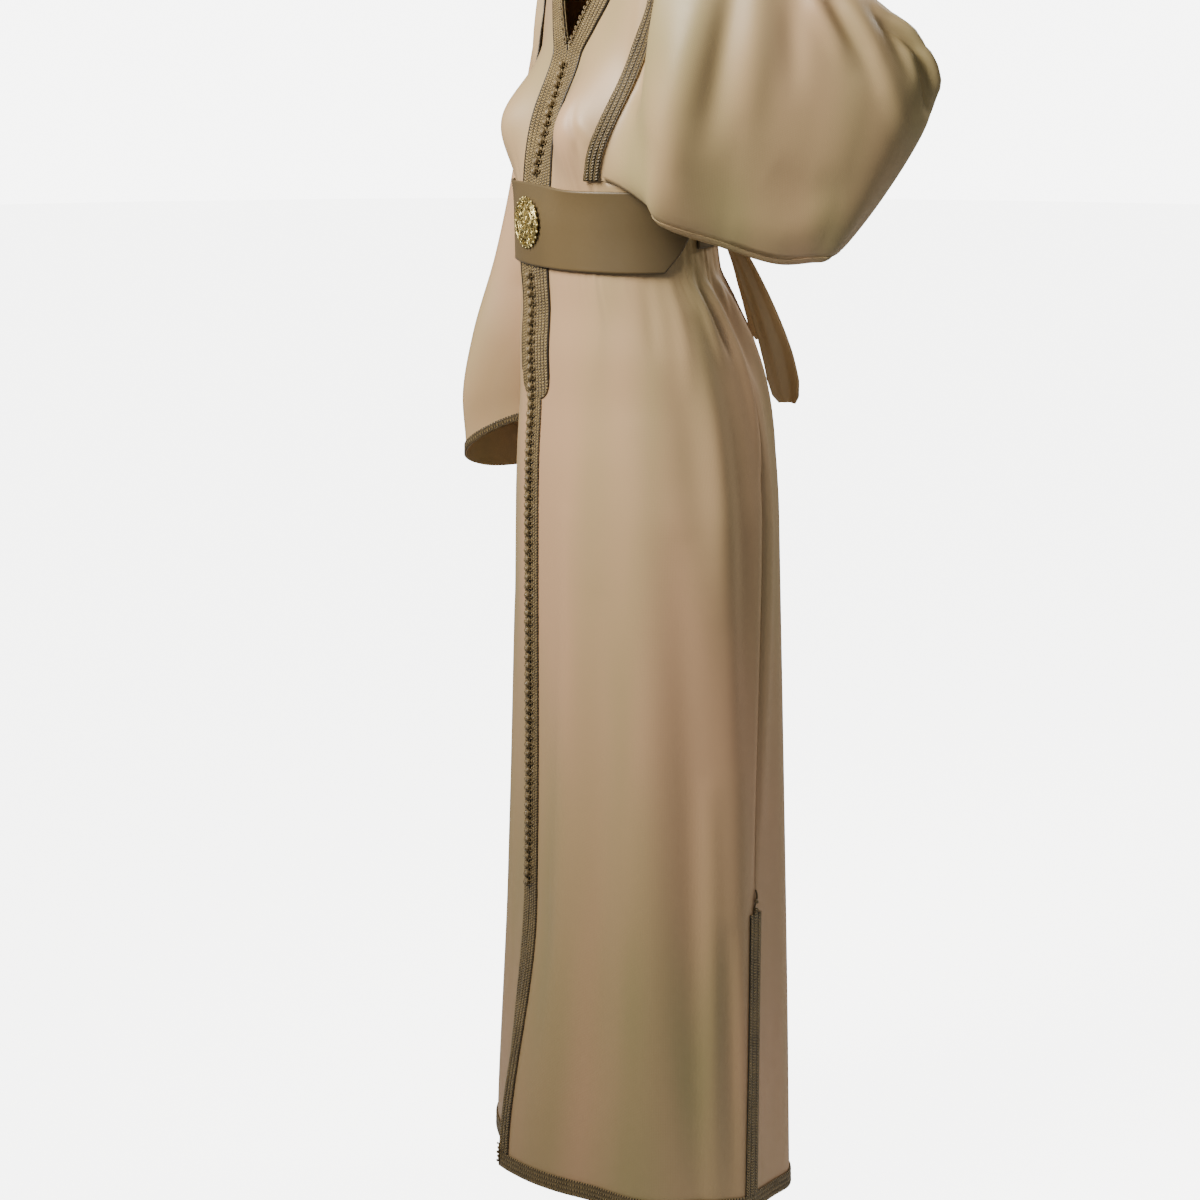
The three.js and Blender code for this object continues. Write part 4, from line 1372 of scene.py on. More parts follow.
@dataclass
class Sleeve:
    """One sleeve with the braid round its cuff, lapped on the panels round the armhole."""

    cloth: Cloth
    finishes: Finishes
    side: Side
    rings: tuple[Ring, ...]
    folds: Sequence[tuple[Line, float, float]]
    hidden_folds: Sequence[tuple[Line, float, float]]
    across: tuple[float, float]
    thick: float = 1.2
    lift: float = 1.9
    lap: float = 10.0
    side_share: float = 0.7
    half_columns: int = 72
    rows: int = 120
    cuff_rows: int = 6
    cuff_lift: float = 1.7
    cuff_thick: float = 1.6
    pucker: float = 0.75

    def rows_round(self) -> Grid:
        """Panel rows from the shoulder down the armhole's side and along its bottom."""
        share = np.linspace(0, 1, self.half_columns)
        down = np.clip(share / self.side_share, 0, 1) ** 1.6
        along = np.clip((share - self.side_share) / (1 - self.side_share), 0, 1)
        drop = self.cloth.armhole_drop * (1 - np.sqrt(1 - along**2))
        return np.where(share < self.side_share, down, 1 + drop / 1000)

    def first_rings(self) -> tuple[Grid, Grid]:
        """The lapped ring and the ring on the armhole's edge."""
        row = self.rows_round()
        found = []
        for inset in (self.lap, 0.0):
            halves = []
            for front in (True, False):
                angle = self.cloth.from_outer(row, inset, front) * self.side.value
                points, normals = self.cloth.at(angle, row)
                halves.append(points + normals * self.lift)
            found.append(np.concatenate([halves[0], halves[1][-2:0:-1]]))
        return found[0], found[1]

    def grid(self) -> tuple[Grid, Grid]:
        """The sleeve's smooth points and the distances of the last two rings."""
        lapped, edged = self.first_rings()
        low = self.half_columns - 1
        down = np.clip((edged[0, 2] - edged[:, 2]) / (edged[0, 2] - edged[low, 2]), 0, 1)
        outside = np.arange(len(down)) <= low
        run = [lapped, edged]
        for ring in self.rings:
            top = np.array(ring.top, float)
            base = np.array(ring.low, float)
            way = np.where(outside, ring.face, ring.back) * DEG
            bulge = 2 * np.sqrt(down * (1 - down)) * (1 - 0.4 * down**2 + ring.sag * down**6)
            width = bulge * np.where(outside, ring.out, ring.inn)
            ahead = np.stack([np.cos(way), np.sin(way), np.zeros(len(way))], axis=-1)
            run.append(top + (base - top) * down[:, None] + ahead * width[:, None])
        loft = Loft(np.stack(run))
        main = np.linspace(0, loft.knots[-2], self.rows)
        cuff = np.linspace(loft.knots[-2], loft.knots[-1], self.cuff_rows)[1:]
        return loft.at(np.concatenate([main, cuff])), loft.knots

    def sheet(self) -> Sheet:
        """The creased sleeve."""
        points, knots = self.grid()
        away = points - points.mean(axis=1, keepdims=True)
        normals = grid_normals(points, True, away)
        view = np.array([self.across[1], -self.across[0], 0.0])
        facing = np.sum(normals * view, axis=-1)
        side_way = points[..., 0] * self.across[0] + points[..., 1] * self.across[1]
        lift = np.zeros(facing.shape)
        for folds, towards in ((self.folds, facing), (self.hidden_folds, -facing)):
            share = smooth(-0.15, 0.3, towards)
            for fold in folds:
                lift = lift + Crease(*fold).lift(side_way, points[..., 2]) * share
        place = np.linspace(0, 1, len(points))[:, None]
        lift = lift * smooth(0.02, 0.12, place) + self.puckers(points, place)
        points = points + normals * lift[..., None]
        return Sheet(points, grid_normals(points, True, away), True)

    def puckers(self, points: Grid, place: Grid) -> Grid:
        """Small gathers of the sleeve beside its seam."""
        ring = np.linspace(0, 2 * math.pi, points.shape[1], endpoint=False)
        wave = np.sin(37 * ring + 0.6) + 0.8 * np.sin(61 * ring + 2.1) + 0.6 * np.sin(23 * ring + 4.0)
        uneven = 0.6 + 0.4 * np.sin(5 * ring + 0.8)
        near = np.exp(-(((place - 0.045) / 0.03) ** 2)) * smooth(0.012, 0.035, place)
        return self.pucker * (wave * uneven)[None, :] * near

    def build(self) -> list[Piece]:
        """Model the sleeve and its cuff braid.

        Returns:
            The pieces.
        """
        label = self.side.label
        sheet = self.sheet()
        piece = lay_sheet(f"satin_sleeve_{label}", sheet, self.thick)
        finish_piece(piece, self.finishes.satin, "satin", f"sleeve_{label}")
        rows = slice(-self.cuff_rows, None)
        cuff = Sheet(sheet.points[rows], sheet.normals[rows], True).lifted(self.cuff_lift)
        braid = lay_sheet(f"plait_cuff_{label}", cuff, self.cuff_thick)
        finish_piece(braid, self.finishes.cuff, "braid", f"cuff_braid_{label}")
        declare(piece, [sheet])
        return [piece, braid]


@dataclass
class Braids:
    """Bands, edge trims, hem trims, slit trims and armhole braids on the panels' own surface."""

    cloth: Cloth
    finishes: Finishes
    lift: float = 1.7
    thick: float = 1.6
    band: float = 36.0
    band_end: float = -495.0
    band_round: float = 22.0
    band_row: float = 7.2
    trim_row: float = 6.0
    seam_row: float = 5.3
    trim: float = 18.0
    hem_top: float = -1356.0
    slit_top: float = -1040.0
    slit_wide: float = 10.0
    armhole: tuple[float, float] = (19.0, 3.0)
    armhole_lift: float = 3.7
    far_back_lift: float = 0.4
    half_gap: float = 0.15
    mark: float = 0.5
    slit_mark: float = 0.7
    armhole_mark: float = 0.8
    band_grid: tuple[int, int] = (220, 56)
    armhole_grid: tuple[int, int] = (150, 33)
    edge_columns: int = 37
    slit_columns: int = 21
    hem_columns: int = 120
    pitch: float = 4.0
    hem_pitch: float = 0.6

    def strip(self, angle: Grid, row: Grid, lift: Grid, side: int = 1) -> Sheet:
        """A strip on the cloth at angles and rows, moved out by a lift."""
        points, normals = self.cloth.at(side * angle, np.broadcast_to(row, angle.shape))
        return Sheet(points, normals).lifted(lift)

    def relief(self, distance: Grid, wide: float) -> Grid:
        """Height of the plait's rounded rows, each as wide as given, across a strip."""
        wave = np.abs(np.sin(np.pi * distance / wide))
        return self.mark * (wave**0.6 - 0.6)

    def rows_between(self, top: float, low: float, pitch: float) -> Grid:
        """Rows at an even pitch between two heights."""
        count = int(abs(top - low) / pitch) + 1
        return self.cloth.rows_at(np.linspace(top, low, count))

    def in_from_front(self, row: Grid, distance: Grid) -> Grid:
        """Angles at distances in from the front edge, a column for each column of them."""
        return np.stack([self.cloth.from_inner(row, column) for column in distance.T], axis=1)

    def in_from_side(self, row: Grid, distances: Grid, front: bool) -> Grid:
        """Angles at distances in from a panel's outer edge, a column for each."""
        return np.stack([self.cloth.from_outer(row, distance, front) for distance in distances], axis=1)

    def lay(self, name: str, sheet: Sheet, material: Material, node: str) -> Piece:
        """Model a strip and give it its finish."""
        piece = lay_sheet(name, sheet, self.thick)
        return finish_piece(piece, material, "braid", node)

    def front_band(self, side: Side) -> Piece:
        """Wide plaited band from the shoulder to below the belt, with a rounded end."""
        label = side.label
        upper = cloth_rows(self.band_grid[0], self.cloth.row(self.band_end))
        level = self.cloth.height(upper)
        near_end = np.clip((self.band_end + self.band_round - level) / self.band_round, 0, 1)
        wide = self.band - self.band_round * (1 - np.sqrt(1 - near_end**2))
        distance = wide[:, None] * np.linspace(0, 1, self.band_grid[1])
        lift = self.lift + self.relief(distance, self.band_row)
        sheet = self.strip(self.in_from_front(upper, distance), upper[:, None], lift, side.value)
        return self.lay(f"plait_band_{label}", sheet, self.finishes.band, f"front_band_{label}")

    def edge_trim(self, side: Side) -> Piece:
        """Narrow trim down the front edge below the band."""
        label = side.label
        row = self.rows_between(self.band_end, self.hem_top, self.pitch)
        columns = np.linspace(0, self.trim, self.edge_columns)
        distance = np.broadcast_to(columns, (len(row), self.edge_columns))
        lift = self.lift + self.relief(distance, self.trim_row)
        sheet = self.strip(self.in_from_front(row, distance), row[:, None], lift, side.value)
        return self.lay(f"plait_edge_{label}", sheet, self.finishes.trim, f"front_edge_trim_{label}")

    def hem(self, name: str, node: str, start: Edge, end: Edge, side: int) -> Piece:
        """Trim along a hem between two edges."""
        row = self.rows_between(self.hem_top, self.cloth.hem_z, self.hem_pitch)
        share = np.linspace(0, 1, self.hem_columns)
        angle = start(row)[:, None] + (end(row) - start(row))[:, None] * share
        depth = np.linspace(0, abs(self.cloth.hem_z - self.hem_top), len(row))
        lift = self.lift + self.relief(depth, self.trim_row)[:, None]
        sheet = self.strip(angle, row[:, None], lift, side)
        return self.lay(name, sheet, self.finishes.hem, node)

    def slit(self, side: Side, front: bool) -> Piece:
        """Trim down one edge of a side slit."""
        label = side.label
        part = "front" if front else "back"
        row = self.rows_between(self.slit_top, self.hem_top, self.pitch)
        angle = self.in_from_side(row, np.linspace(self.slit_wide, self.half_gap, self.slit_columns), front)
        relief = self.relief(np.linspace(0, self.slit_wide, self.slit_columns), self.trim_row)
        sheet = self.strip(angle, row[:, None], self.lift + relief[None, :] * self.slit_mark, side.value)
        return self.lay(f"plait_slit_{part}_{label}", sheet, self.finishes.trim, f"slit_trim_{part}_{label}")

    def round_armhole(self, side: Side, front: bool) -> Piece:
        """Braid over a sleeve's seam on the front or the back."""
        label = side.label
        part = "front" if front else "back"
        row = np.interp(np.linspace(0, 1, self.armhole_grid[0]), [0, 0.08, 1], [0, 0.05, 1.0])
        wide = np.linspace(self.armhole[0], self.armhole[1], self.armhole_grid[1])
        extra = self.far_back_lift if side is Side.RIGHT and not front else 0.0
        relief = self.relief(self.armhole[0] - wide, self.seam_row)
        lift = self.armhole_lift + extra + relief[None, :] * self.armhole_mark
        sheet = self.strip(self.in_from_side(row, wide, front), row[:, None], lift, side.value)
        node = f"armhole_braid_{part}_{label}"
        return self.lay(f"plait_armhole_{part}_{label}", sheet, self.finishes.seam_braid, node)

    def far_back_edge(self, row: Grid) -> Grid:
        """Outer edge of the back on the garment's right, counted on round the back."""
        return 360 - self.cloth.outer_edge(row, False)

    def build(self) -> list[Piece]:
        """Model every braid and trim.

        Returns:
            The pieces.
        """
        made = []
        front_edge = partial(self.cloth.outer_edge, front=True)
        back_edge = partial(self.cloth.outer_edge, front=False)
        for side in Side:
            label = side.label
            made.append(self.front_band(side))
            made.append(self.edge_trim(side))
            name = f"plait_hem_front_{label}"
            node = f"hem_trim_front_{label}"
            made.append(self.hem(name, node, self.cloth.inner_edge, front_edge, side.value))
            for front in (True, False):
                made.append(self.slit(side, front))
                made.append(self.round_armhole(side, front))
        made.append(self.hem("plait_hem_back", "hem_trim_back", back_edge, self.far_back_edge, 1))
        return made


@dataclass
class Cords:
    """Fine cords: piping beside the bands, loops round the neck and tacks at the slits and hem corners."""

    cloth: Cloth
    finishes: Finishes
    around: int = 8
    piping: float = 1.1
    fine: float = 0.9
    beside: float = 37.0
    band_end: float = -473.0
    tip: float = 0.05
    loop_points: int = 14
    neck: tuple[float, float] = (12, -132)
    neck_loop: tuple[float, float] = (6.4, 2.4)
    corner: tuple[float, float] = (-1346, -1371)
    corner_loop: tuple[float, float] = (5.0, 1.8)
    corner_cord: float = 0.8
    tack: tuple[float, float] = (-1014, -1046)
    tack_knots: tuple[float, float] = (-1027.0, -1036.0)
    knot: float = 2.4

    def tube(self, name: str, path: Grid, normals: Grid, radius: float) -> Piece:
        """Round cord along a path, drawn to a point at both ends.

        Args:
            name: Piece name.
            path: Middle points in millimetres.
            normals: Directions away from the cloth.
            radius: Radius in millimetres.

        Returns:
            The cord.
        """
        ahead = unit(np.gradient(path, axis=0))
        side = unit(np.cross(ahead, normals))
        out = np.cross(side, ahead)
        turn = np.linspace(0, 2 * math.pi, self.around, endpoint=False)
        way = side[:, None] * np.cos(turn)[None, :, None] + out[:, None] * np.sin(turn)[None, :, None]
        size = np.full(len(path), radius)
        size[0] = self.tip
        size[-1] = self.tip
        points = path[:, None] + way * size[:, None, None]
        return lay_sheet(name, Sheet(points, way, True), 0)

    def beside_edge(self, z: Grid, distance: float, side: int, lift: float) -> tuple[Grid, Grid]:
        """Path on a front panel at a distance from its inner edge."""
        row = self.cloth.rows_at(z)
        angle = self.cloth.from_inner(row, np.full(len(row), distance)) * side
        points, normals = self.cloth.at(angle, row)
        return points + normals * lift, normals

    def looped(self, path: Grid, normals: Grid, pitch: float, wide: float) -> tuple[Grid, Grid]:
        """Turn a path into a row of small loops."""
        length = np.concatenate([[0.0], np.cumsum(np.linalg.norm(np.diff(path, axis=0), axis=1))])
        s = np.linspace(wide, length[-1] - wide, int(length[-1] / pitch * self.loop_points))
        turn = 2 * math.pi * s / pitch
        at = s + 0.42 * pitch * np.sin(turn)
        spot = along(at, length, path)
        away = unit(along(at, length, normals))
        ahead = unit(np.gradient(along(s, length, path), axis=0))
        across = np.cross(away, ahead)
        lift = 0.5 * np.sin(turn * 0.5 + 0.4)
        return spot + across * (wide * np.cos(turn))[:, None] + away * lift[:, None], away

    def knots(self, name: str, spots: Sequence[Grid], radius: float) -> Piece:
        """Small round knots at places in millimetres."""
        made = []
        for spot in spots:
            clear_selection()
            place = tuple(float(value) * MM for value in spot)
            bpy.ops.mesh.primitive_ico_sphere_add(subdivisions=2, radius=radius * MM, location=place)
            settle(bpy.context.object)
            made.append(bpy.context.object)
        piece = joined(name, made)
        bpy.ops.object.shade_smooth()
        return piece

    def slit_tack(self, side: Side) -> Piece:
        """Two small knots and a short loop where a side slit begins."""
        label = side.label
        spots = []
        for z in self.tack_knots:
            row = self.cloth.row(z)
            angle = float(self.cloth.seam(z)) * side.value
            point, normal = self.cloth.at(angle, row)
            spots.append(point + normal * 3.2)
        knots = self.knots(f"tack_knots_{label}", spots, self.knot)
        z = np.linspace(self.tack[0], self.tack[1], 40)
        row = self.cloth.rows_at(z)
        sway = 2.6 * np.sin(np.linspace(0, 2 * math.pi, 40))
        angle = (self.cloth.seam(z) + sway / 2.6) * side.value
        point, normal = self.cloth.at(angle, row)
        cord = self.tube(f"tack_cord_{label}", point + normal * 1.7, normal, self.fine)
        return joined(f"cord_tack_{label}", [knots, cord])

    def hem_corner(self, side: Side) -> Piece:
        """Row of small loops at a front panel's bottom corner."""
        label = side.label
        path, normals = self.beside_edge(np.linspace(*self.corner, 30), 0.4, side.value, 3.4)
        path, normals = self.looped(path, normals, *self.corner_loop)
        return self.tube(f"cord_corner_{label}", path, normals, self.corner_cord)

    def build(self) -> list[Piece]:
        """Model the cords.

        Returns:
            The pieces.
        """
        made = []
        for side in Side:
            label = side.label
            z = np.concatenate([np.linspace(15, -262, 150), np.linspace(-262, self.band_end, 100)[1:]])
            path, normals = self.beside_edge(z, self.beside, side.value, 1.9)
            piping = self.tube(f"cord_piping_{label}", path, normals, self.piping)
            made.append(finish_piece(piping, self.finishes.piping, "cord"))
            path, normals = self.beside_edge(np.linspace(*self.neck, 120), 1.2, side.value, 3.6)
            path, normals = self.looped(path, normals, *self.neck_loop)
            loops = self.tube(f"cord_neck_{label}", path, normals, self.fine)
            made.append(finish_piece(loops, self.finishes.cord, "cord"))
            made.append(finish_piece(self.slit_tack(side), self.finishes.cord, "cord"))
            made.append(finish_piece(self.hem_corner(side), self.finishes.cord, "cord"))
        return made


@dataclass
class Buttons:
    """Knotted buttons with a cord loop on each side, close together down the front."""

    cloth: Cloth
    finishes: Finishes
    radius: float = 3.9
    cord: float = 1.4
    pitch: float = 10.0
    loop: float = 3.0
    loop_cord: float = 0.85
    upper: tuple[float, float] = (-140.0, -262.0)
    lower: tuple[float, float] = (-359.0, -1048.0)
    upper_lift: float = 7.1
    lower_lift: float = 6.0
    loop_place: tuple[float, float] = (4.6, 2.2)
    loop_tilt: float = 0.25
    loop_shape: tuple[float, float, float] = (1.15, 0.8, 1)

    def first(self) -> Piece:
        """Model one button at the origin, its cord upright and its loops to the sides."""
        clear_selection()
        bpy.ops.mesh.primitive_ico_sphere_add(subdivisions=3, radius=1)
        knot = bpy.context.object
        places = vertex_places(knot)
        turn = np.arctan2(places[:, 1], places[:, 0])
        up = np.arcsin(np.clip(places[:, 2], -1, 1))
        twist = np.abs(np.sin(2 * turn + 2.2 * up)) * np.abs(np.sin(2 * turn - 2.2 * up))
        size = self.radius * (0.9 + 0.16 * np.sqrt(twist))
        move_vertices(knot, places * size[:, None] * MM)
        clear_selection()
        bpy.ops.mesh.primitive_cylinder_add(vertices=10, radius=self.cord * MM, depth=self.pitch * MM)
        parts = [knot, bpy.context.object]
        settle(parts[1])
        for way in (-1, 1):
            clear_selection()
            bpy.ops.mesh.primitive_torus_add(
                major_segments=16,
                minor_segments=6,
                major_radius=self.loop * MM,
                minor_radius=self.loop_cord * MM,
                location=(way * self.loop_place[0] * MM, self.loop_place[1] * MM, 0),
                rotation=(math.pi / 2, 0, way * self.loop_tilt),
            )
            loop = bpy.context.object
            loop.scale = self.loop_shape
            settle(loop)
            parts.append(loop)
        piece = joined("button", parts)
        bpy.ops.object.shade_smooth()
        return piece

    def line(
        self, name: str, node: str, span: tuple[float, float], lift: float, first: Piece
    ) -> Piece:
        """Copy the button down a stretch of the front and join the copies.

        Args:
            name: Piece name.
            node: Node that the line replaces.
            span: Top and low end in millimetres.
            lift: Distance of the buttons' middle from the cloth.
            first: The button to copy.

        Returns:
            The line of buttons.
        """
        count = round((span[0] - span[1]) / self.pitch)
        copies = []
        for i in range(count):
            z = span[0] - (i + 0.5) * self.pitch
            row = self.cloth.row(z)
            centre = self.cloth.surface(0.0, row)
            away = lift / abs(float(self.cloth.outward(0.0, row)[1]))
            wander = 0.25 * math.sin(i * 2.4)
            place = (wander * MM, (float(centre[1]) - away) * MM, z * MM)
            copies.append(copy_of(first, place, 0.97 + 0.04 * math.sin(i * 1.7)))
        piece = joined(name, copies)
        return finish_piece(piece, self.finishes.cord, "cord", node)

    def build(self) -> list[Piece]:
        """Model both lines of buttons.

        Returns:
            The pieces.
        """
        first = self.first()
        made = [
            self.line("knots_upper", "buttons_upper", self.upper, self.upper_lift, first),
            self.line("knots_lower", "buttons_lower", self.lower, self.lower_lift, first),
        ]
        select_only(first)
        bpy.ops.object.delete()
        return made


@dataclass
class Belt:
    """Stiff belt panel round the front and the narrower belt behind."""

    cloth: Cloth
    finishes: Finishes
    top: float = -269.0
    low: float = -353.0
    back_top: float = -286.0
    back_low: float = -330.0
    front_lift: float = 4.6
    front_thick: float = 2.4
    front_grid: tuple[int, int] = (36, 150)
    back_lift: float = 2.9
    back_thick: float = 1.8
    back_grid: tuple[int, int] = (20, 110)
    back_reach: tuple[float, float] = (109.0, 251.0)
    ends: Curve = field(
        default_factory=lambda: Curve([(-269, 98), (-284, 103), (-300, 105), (-325, 98), (-353, 84)])
    )

    def round_body(self, z: Grid, start: Grid, end: Grid, columns: int, lift: float) -> Sheet:
        """Strip of the body's plain surface, moved out."""
        row = self.cloth.rows_at(z)
        share = np.linspace(0, 1, columns)
        angle = start[:, None] + (end - start)[:, None] * share
        turned = within_half_turn(angle)
        rows = np.broadcast_to(row[:, None], angle.shape)
        base = Body.surface(self.cloth, turned, rows)
        return Sheet(base, Body.outward(self.cloth, turned, rows)).lifted(np.full(angle.shape, lift))

    def build(self) -> list[Piece]:
        """Model the belt.

        Returns:
            The pieces.
        """
        z = np.linspace(self.top, self.low, self.front_grid[0])
        end = self.ends(z)
        panel_sheet = self.round_body(z, -end, end, self.front_grid[1], self.front_lift)
        panel = lay_sheet("belt_cloth_front", panel_sheet, self.front_thick)
        finish_piece(panel, self.finishes.belt, "belt", "belt_panel")
        z = np.linspace(self.back_top, self.back_low, self.back_grid[0])
        start, end = (np.full(len(z), angle) for angle in self.back_reach)
        back_sheet = self.round_body(z, start, end, self.back_grid[1], self.back_lift)
        back = lay_sheet("belt_cloth_back", back_sheet, self.back_thick)
        finish_piece(back, self.finishes.belt, "belt", "belt_back")
        declare(panel, [panel_sheet])
        declare(back, [back_sheet])
        return [panel, back]


@dataclass
class Brooch:
    """Pierced oval medallion of gilt scrolls and beads on the belt's middle."""

    cloth: Cloth
    finishes: Finishes
    wide: float = 32.0
    tall: float = 27.0
    z: float = -309.0
    lift: float = 6.2
    plate_thick: float = 1.2
    lobes: int = 8
    rim_beads: int = 24
    middle_beads: int = 10

    def place(self, across: float, up: float, out: float) -> tuple[float, float, float]:
        """Place in metres of a spot on the medallion."""
        base = float(self.cloth.surface(0.0, self.cloth.row(self.z))[1]) - self.lift
        return (across * MM, (base - out) * MM, (self.z + up) * MM)

    def bead(self, across: float, up: float, out: float, radius: float) -> Piece:
        """A small ball."""
        clear_selection()
        bpy.ops.mesh.primitive_ico_sphere_add(
            subdivisions=2, radius=radius * MM, location=self.place(across, up, out)
        )
        bead = bpy.context.object
        settle(bead)
        return bead

    def spot(self, share: float, turn: float) -> tuple[float, float]:
        """Across and up of a spot at a share of the medallion's size, at a turn in radians."""
        return (self.wide * share * math.cos(turn), self.tall * share * math.sin(turn))

    def wire(
        self, across: float, up: float, out: float, size: tuple[float, float], cord: float, tilt: float = 0.0
    ) -> Piece:
        """A ring of wire, oval if its two sizes differ.

        Args:
            across: Place across in millimetres.
            up: Place up.
            out: Place out of the belt.
            size: Half width and half height.
            cord: Radius of the wire.
            tilt: Turn in radians.

        Returns:
            The ring.
        """
        clear_selection()
        bpy.ops.mesh.primitive_torus_add(
            major_segments=48,
            minor_segments=8,
            major_radius=1,
            minor_radius=cord / max(size),
            rotation=(math.pi / 2, 0, 0),
        )
        ring = bpy.context.object
        settle(ring)
        ring.scale = (size[0] * MM, max(size) * MM, size[1] * MM)
        ring.rotation_euler = (0, tilt, 0)
        ring.location = self.place(across, up, out)
        settle(ring)
        return ring

    def plate(self) -> Piece:
        """Thin lobed plate behind the scrolls."""
        clear_selection()
        bpy.ops.mesh.primitive_cylinder_add(vertices=96, radius=1, depth=1, rotation=(math.pi / 2, 0, 0))
        plate = bpy.context.object
        settle(plate)
        places = vertex_places(plate)
        turn = np.arctan2(places[:, 2], places[:, 0])
        lobe = 0.93 * (1 + 0.035 * np.cos(self.lobes * turn))
        places[:, 0] *= lobe * self.wide
        places[:, 2] *= lobe * self.tall
        places[:, 1] *= self.plate_thick
        move_vertices(plate, places * MM + np.array(self.place(0, 0, self.plate_thick / 2)))
        return plate

    def build(self) -> list[Piece]:
        """Model the medallion.

        Returns:
            The piece.
        """
        parts = [self.plate()]
        parts.append(self.wire(0, 0, 1.6, (self.wide - 2.2, self.tall - 2.2), 1.1))
        parts.append(self.wire(0, 0, 2.6, (self.wide * 0.6, self.tall * 0.6), 0.9))
        parts.append(self.wire(0, 0, 4.2, (self.wide * 0.3, self.tall * 0.3), 1.0))
        for i in range(self.rim_beads):
            turn = 2 * math.pi * i / self.rim_beads
            parts.append(self.bead(*self.spot(0.985, turn), 1.2, 1.5))
        for i in range(self.lobes):
            turn = 2 * math.pi * (i + 0.5) / self.lobes
            parts.append(self.wire(*self.spot(0.75, turn), 2.4, (4.2, 3.2), 0.7, -turn))
            parts.append(self.bead(*self.spot(0.75, turn), 2.5, 1.5))
            near = 2 * math.pi * i / self.lobes
            parts.append(self.wire(*self.spot(0.45, near), 3.4, (3.4, 2.5), 0.65, -near))
            parts.append(self.bead(*self.spot(0.45, near), 3.6, 1.2))
            parts.append(self.bead(*self.spot(0.8, near), 2.0, 1.7))
        parts.append(self.bead(0, 0, 3.2, 3.3))
        for i in range(self.middle_beads):
            turn = 2 * math.pi * i / self.middle_beads
            parts.append(self.bead(5.2 * math.cos(turn), 5.0 * math.sin(turn), 4.6, 1.0))
        piece = joined("medallion", parts)
        bpy.ops.object.shade_smooth()
        return [finish_piece(piece, self.finishes.gilt, "gilt", "brooch")]


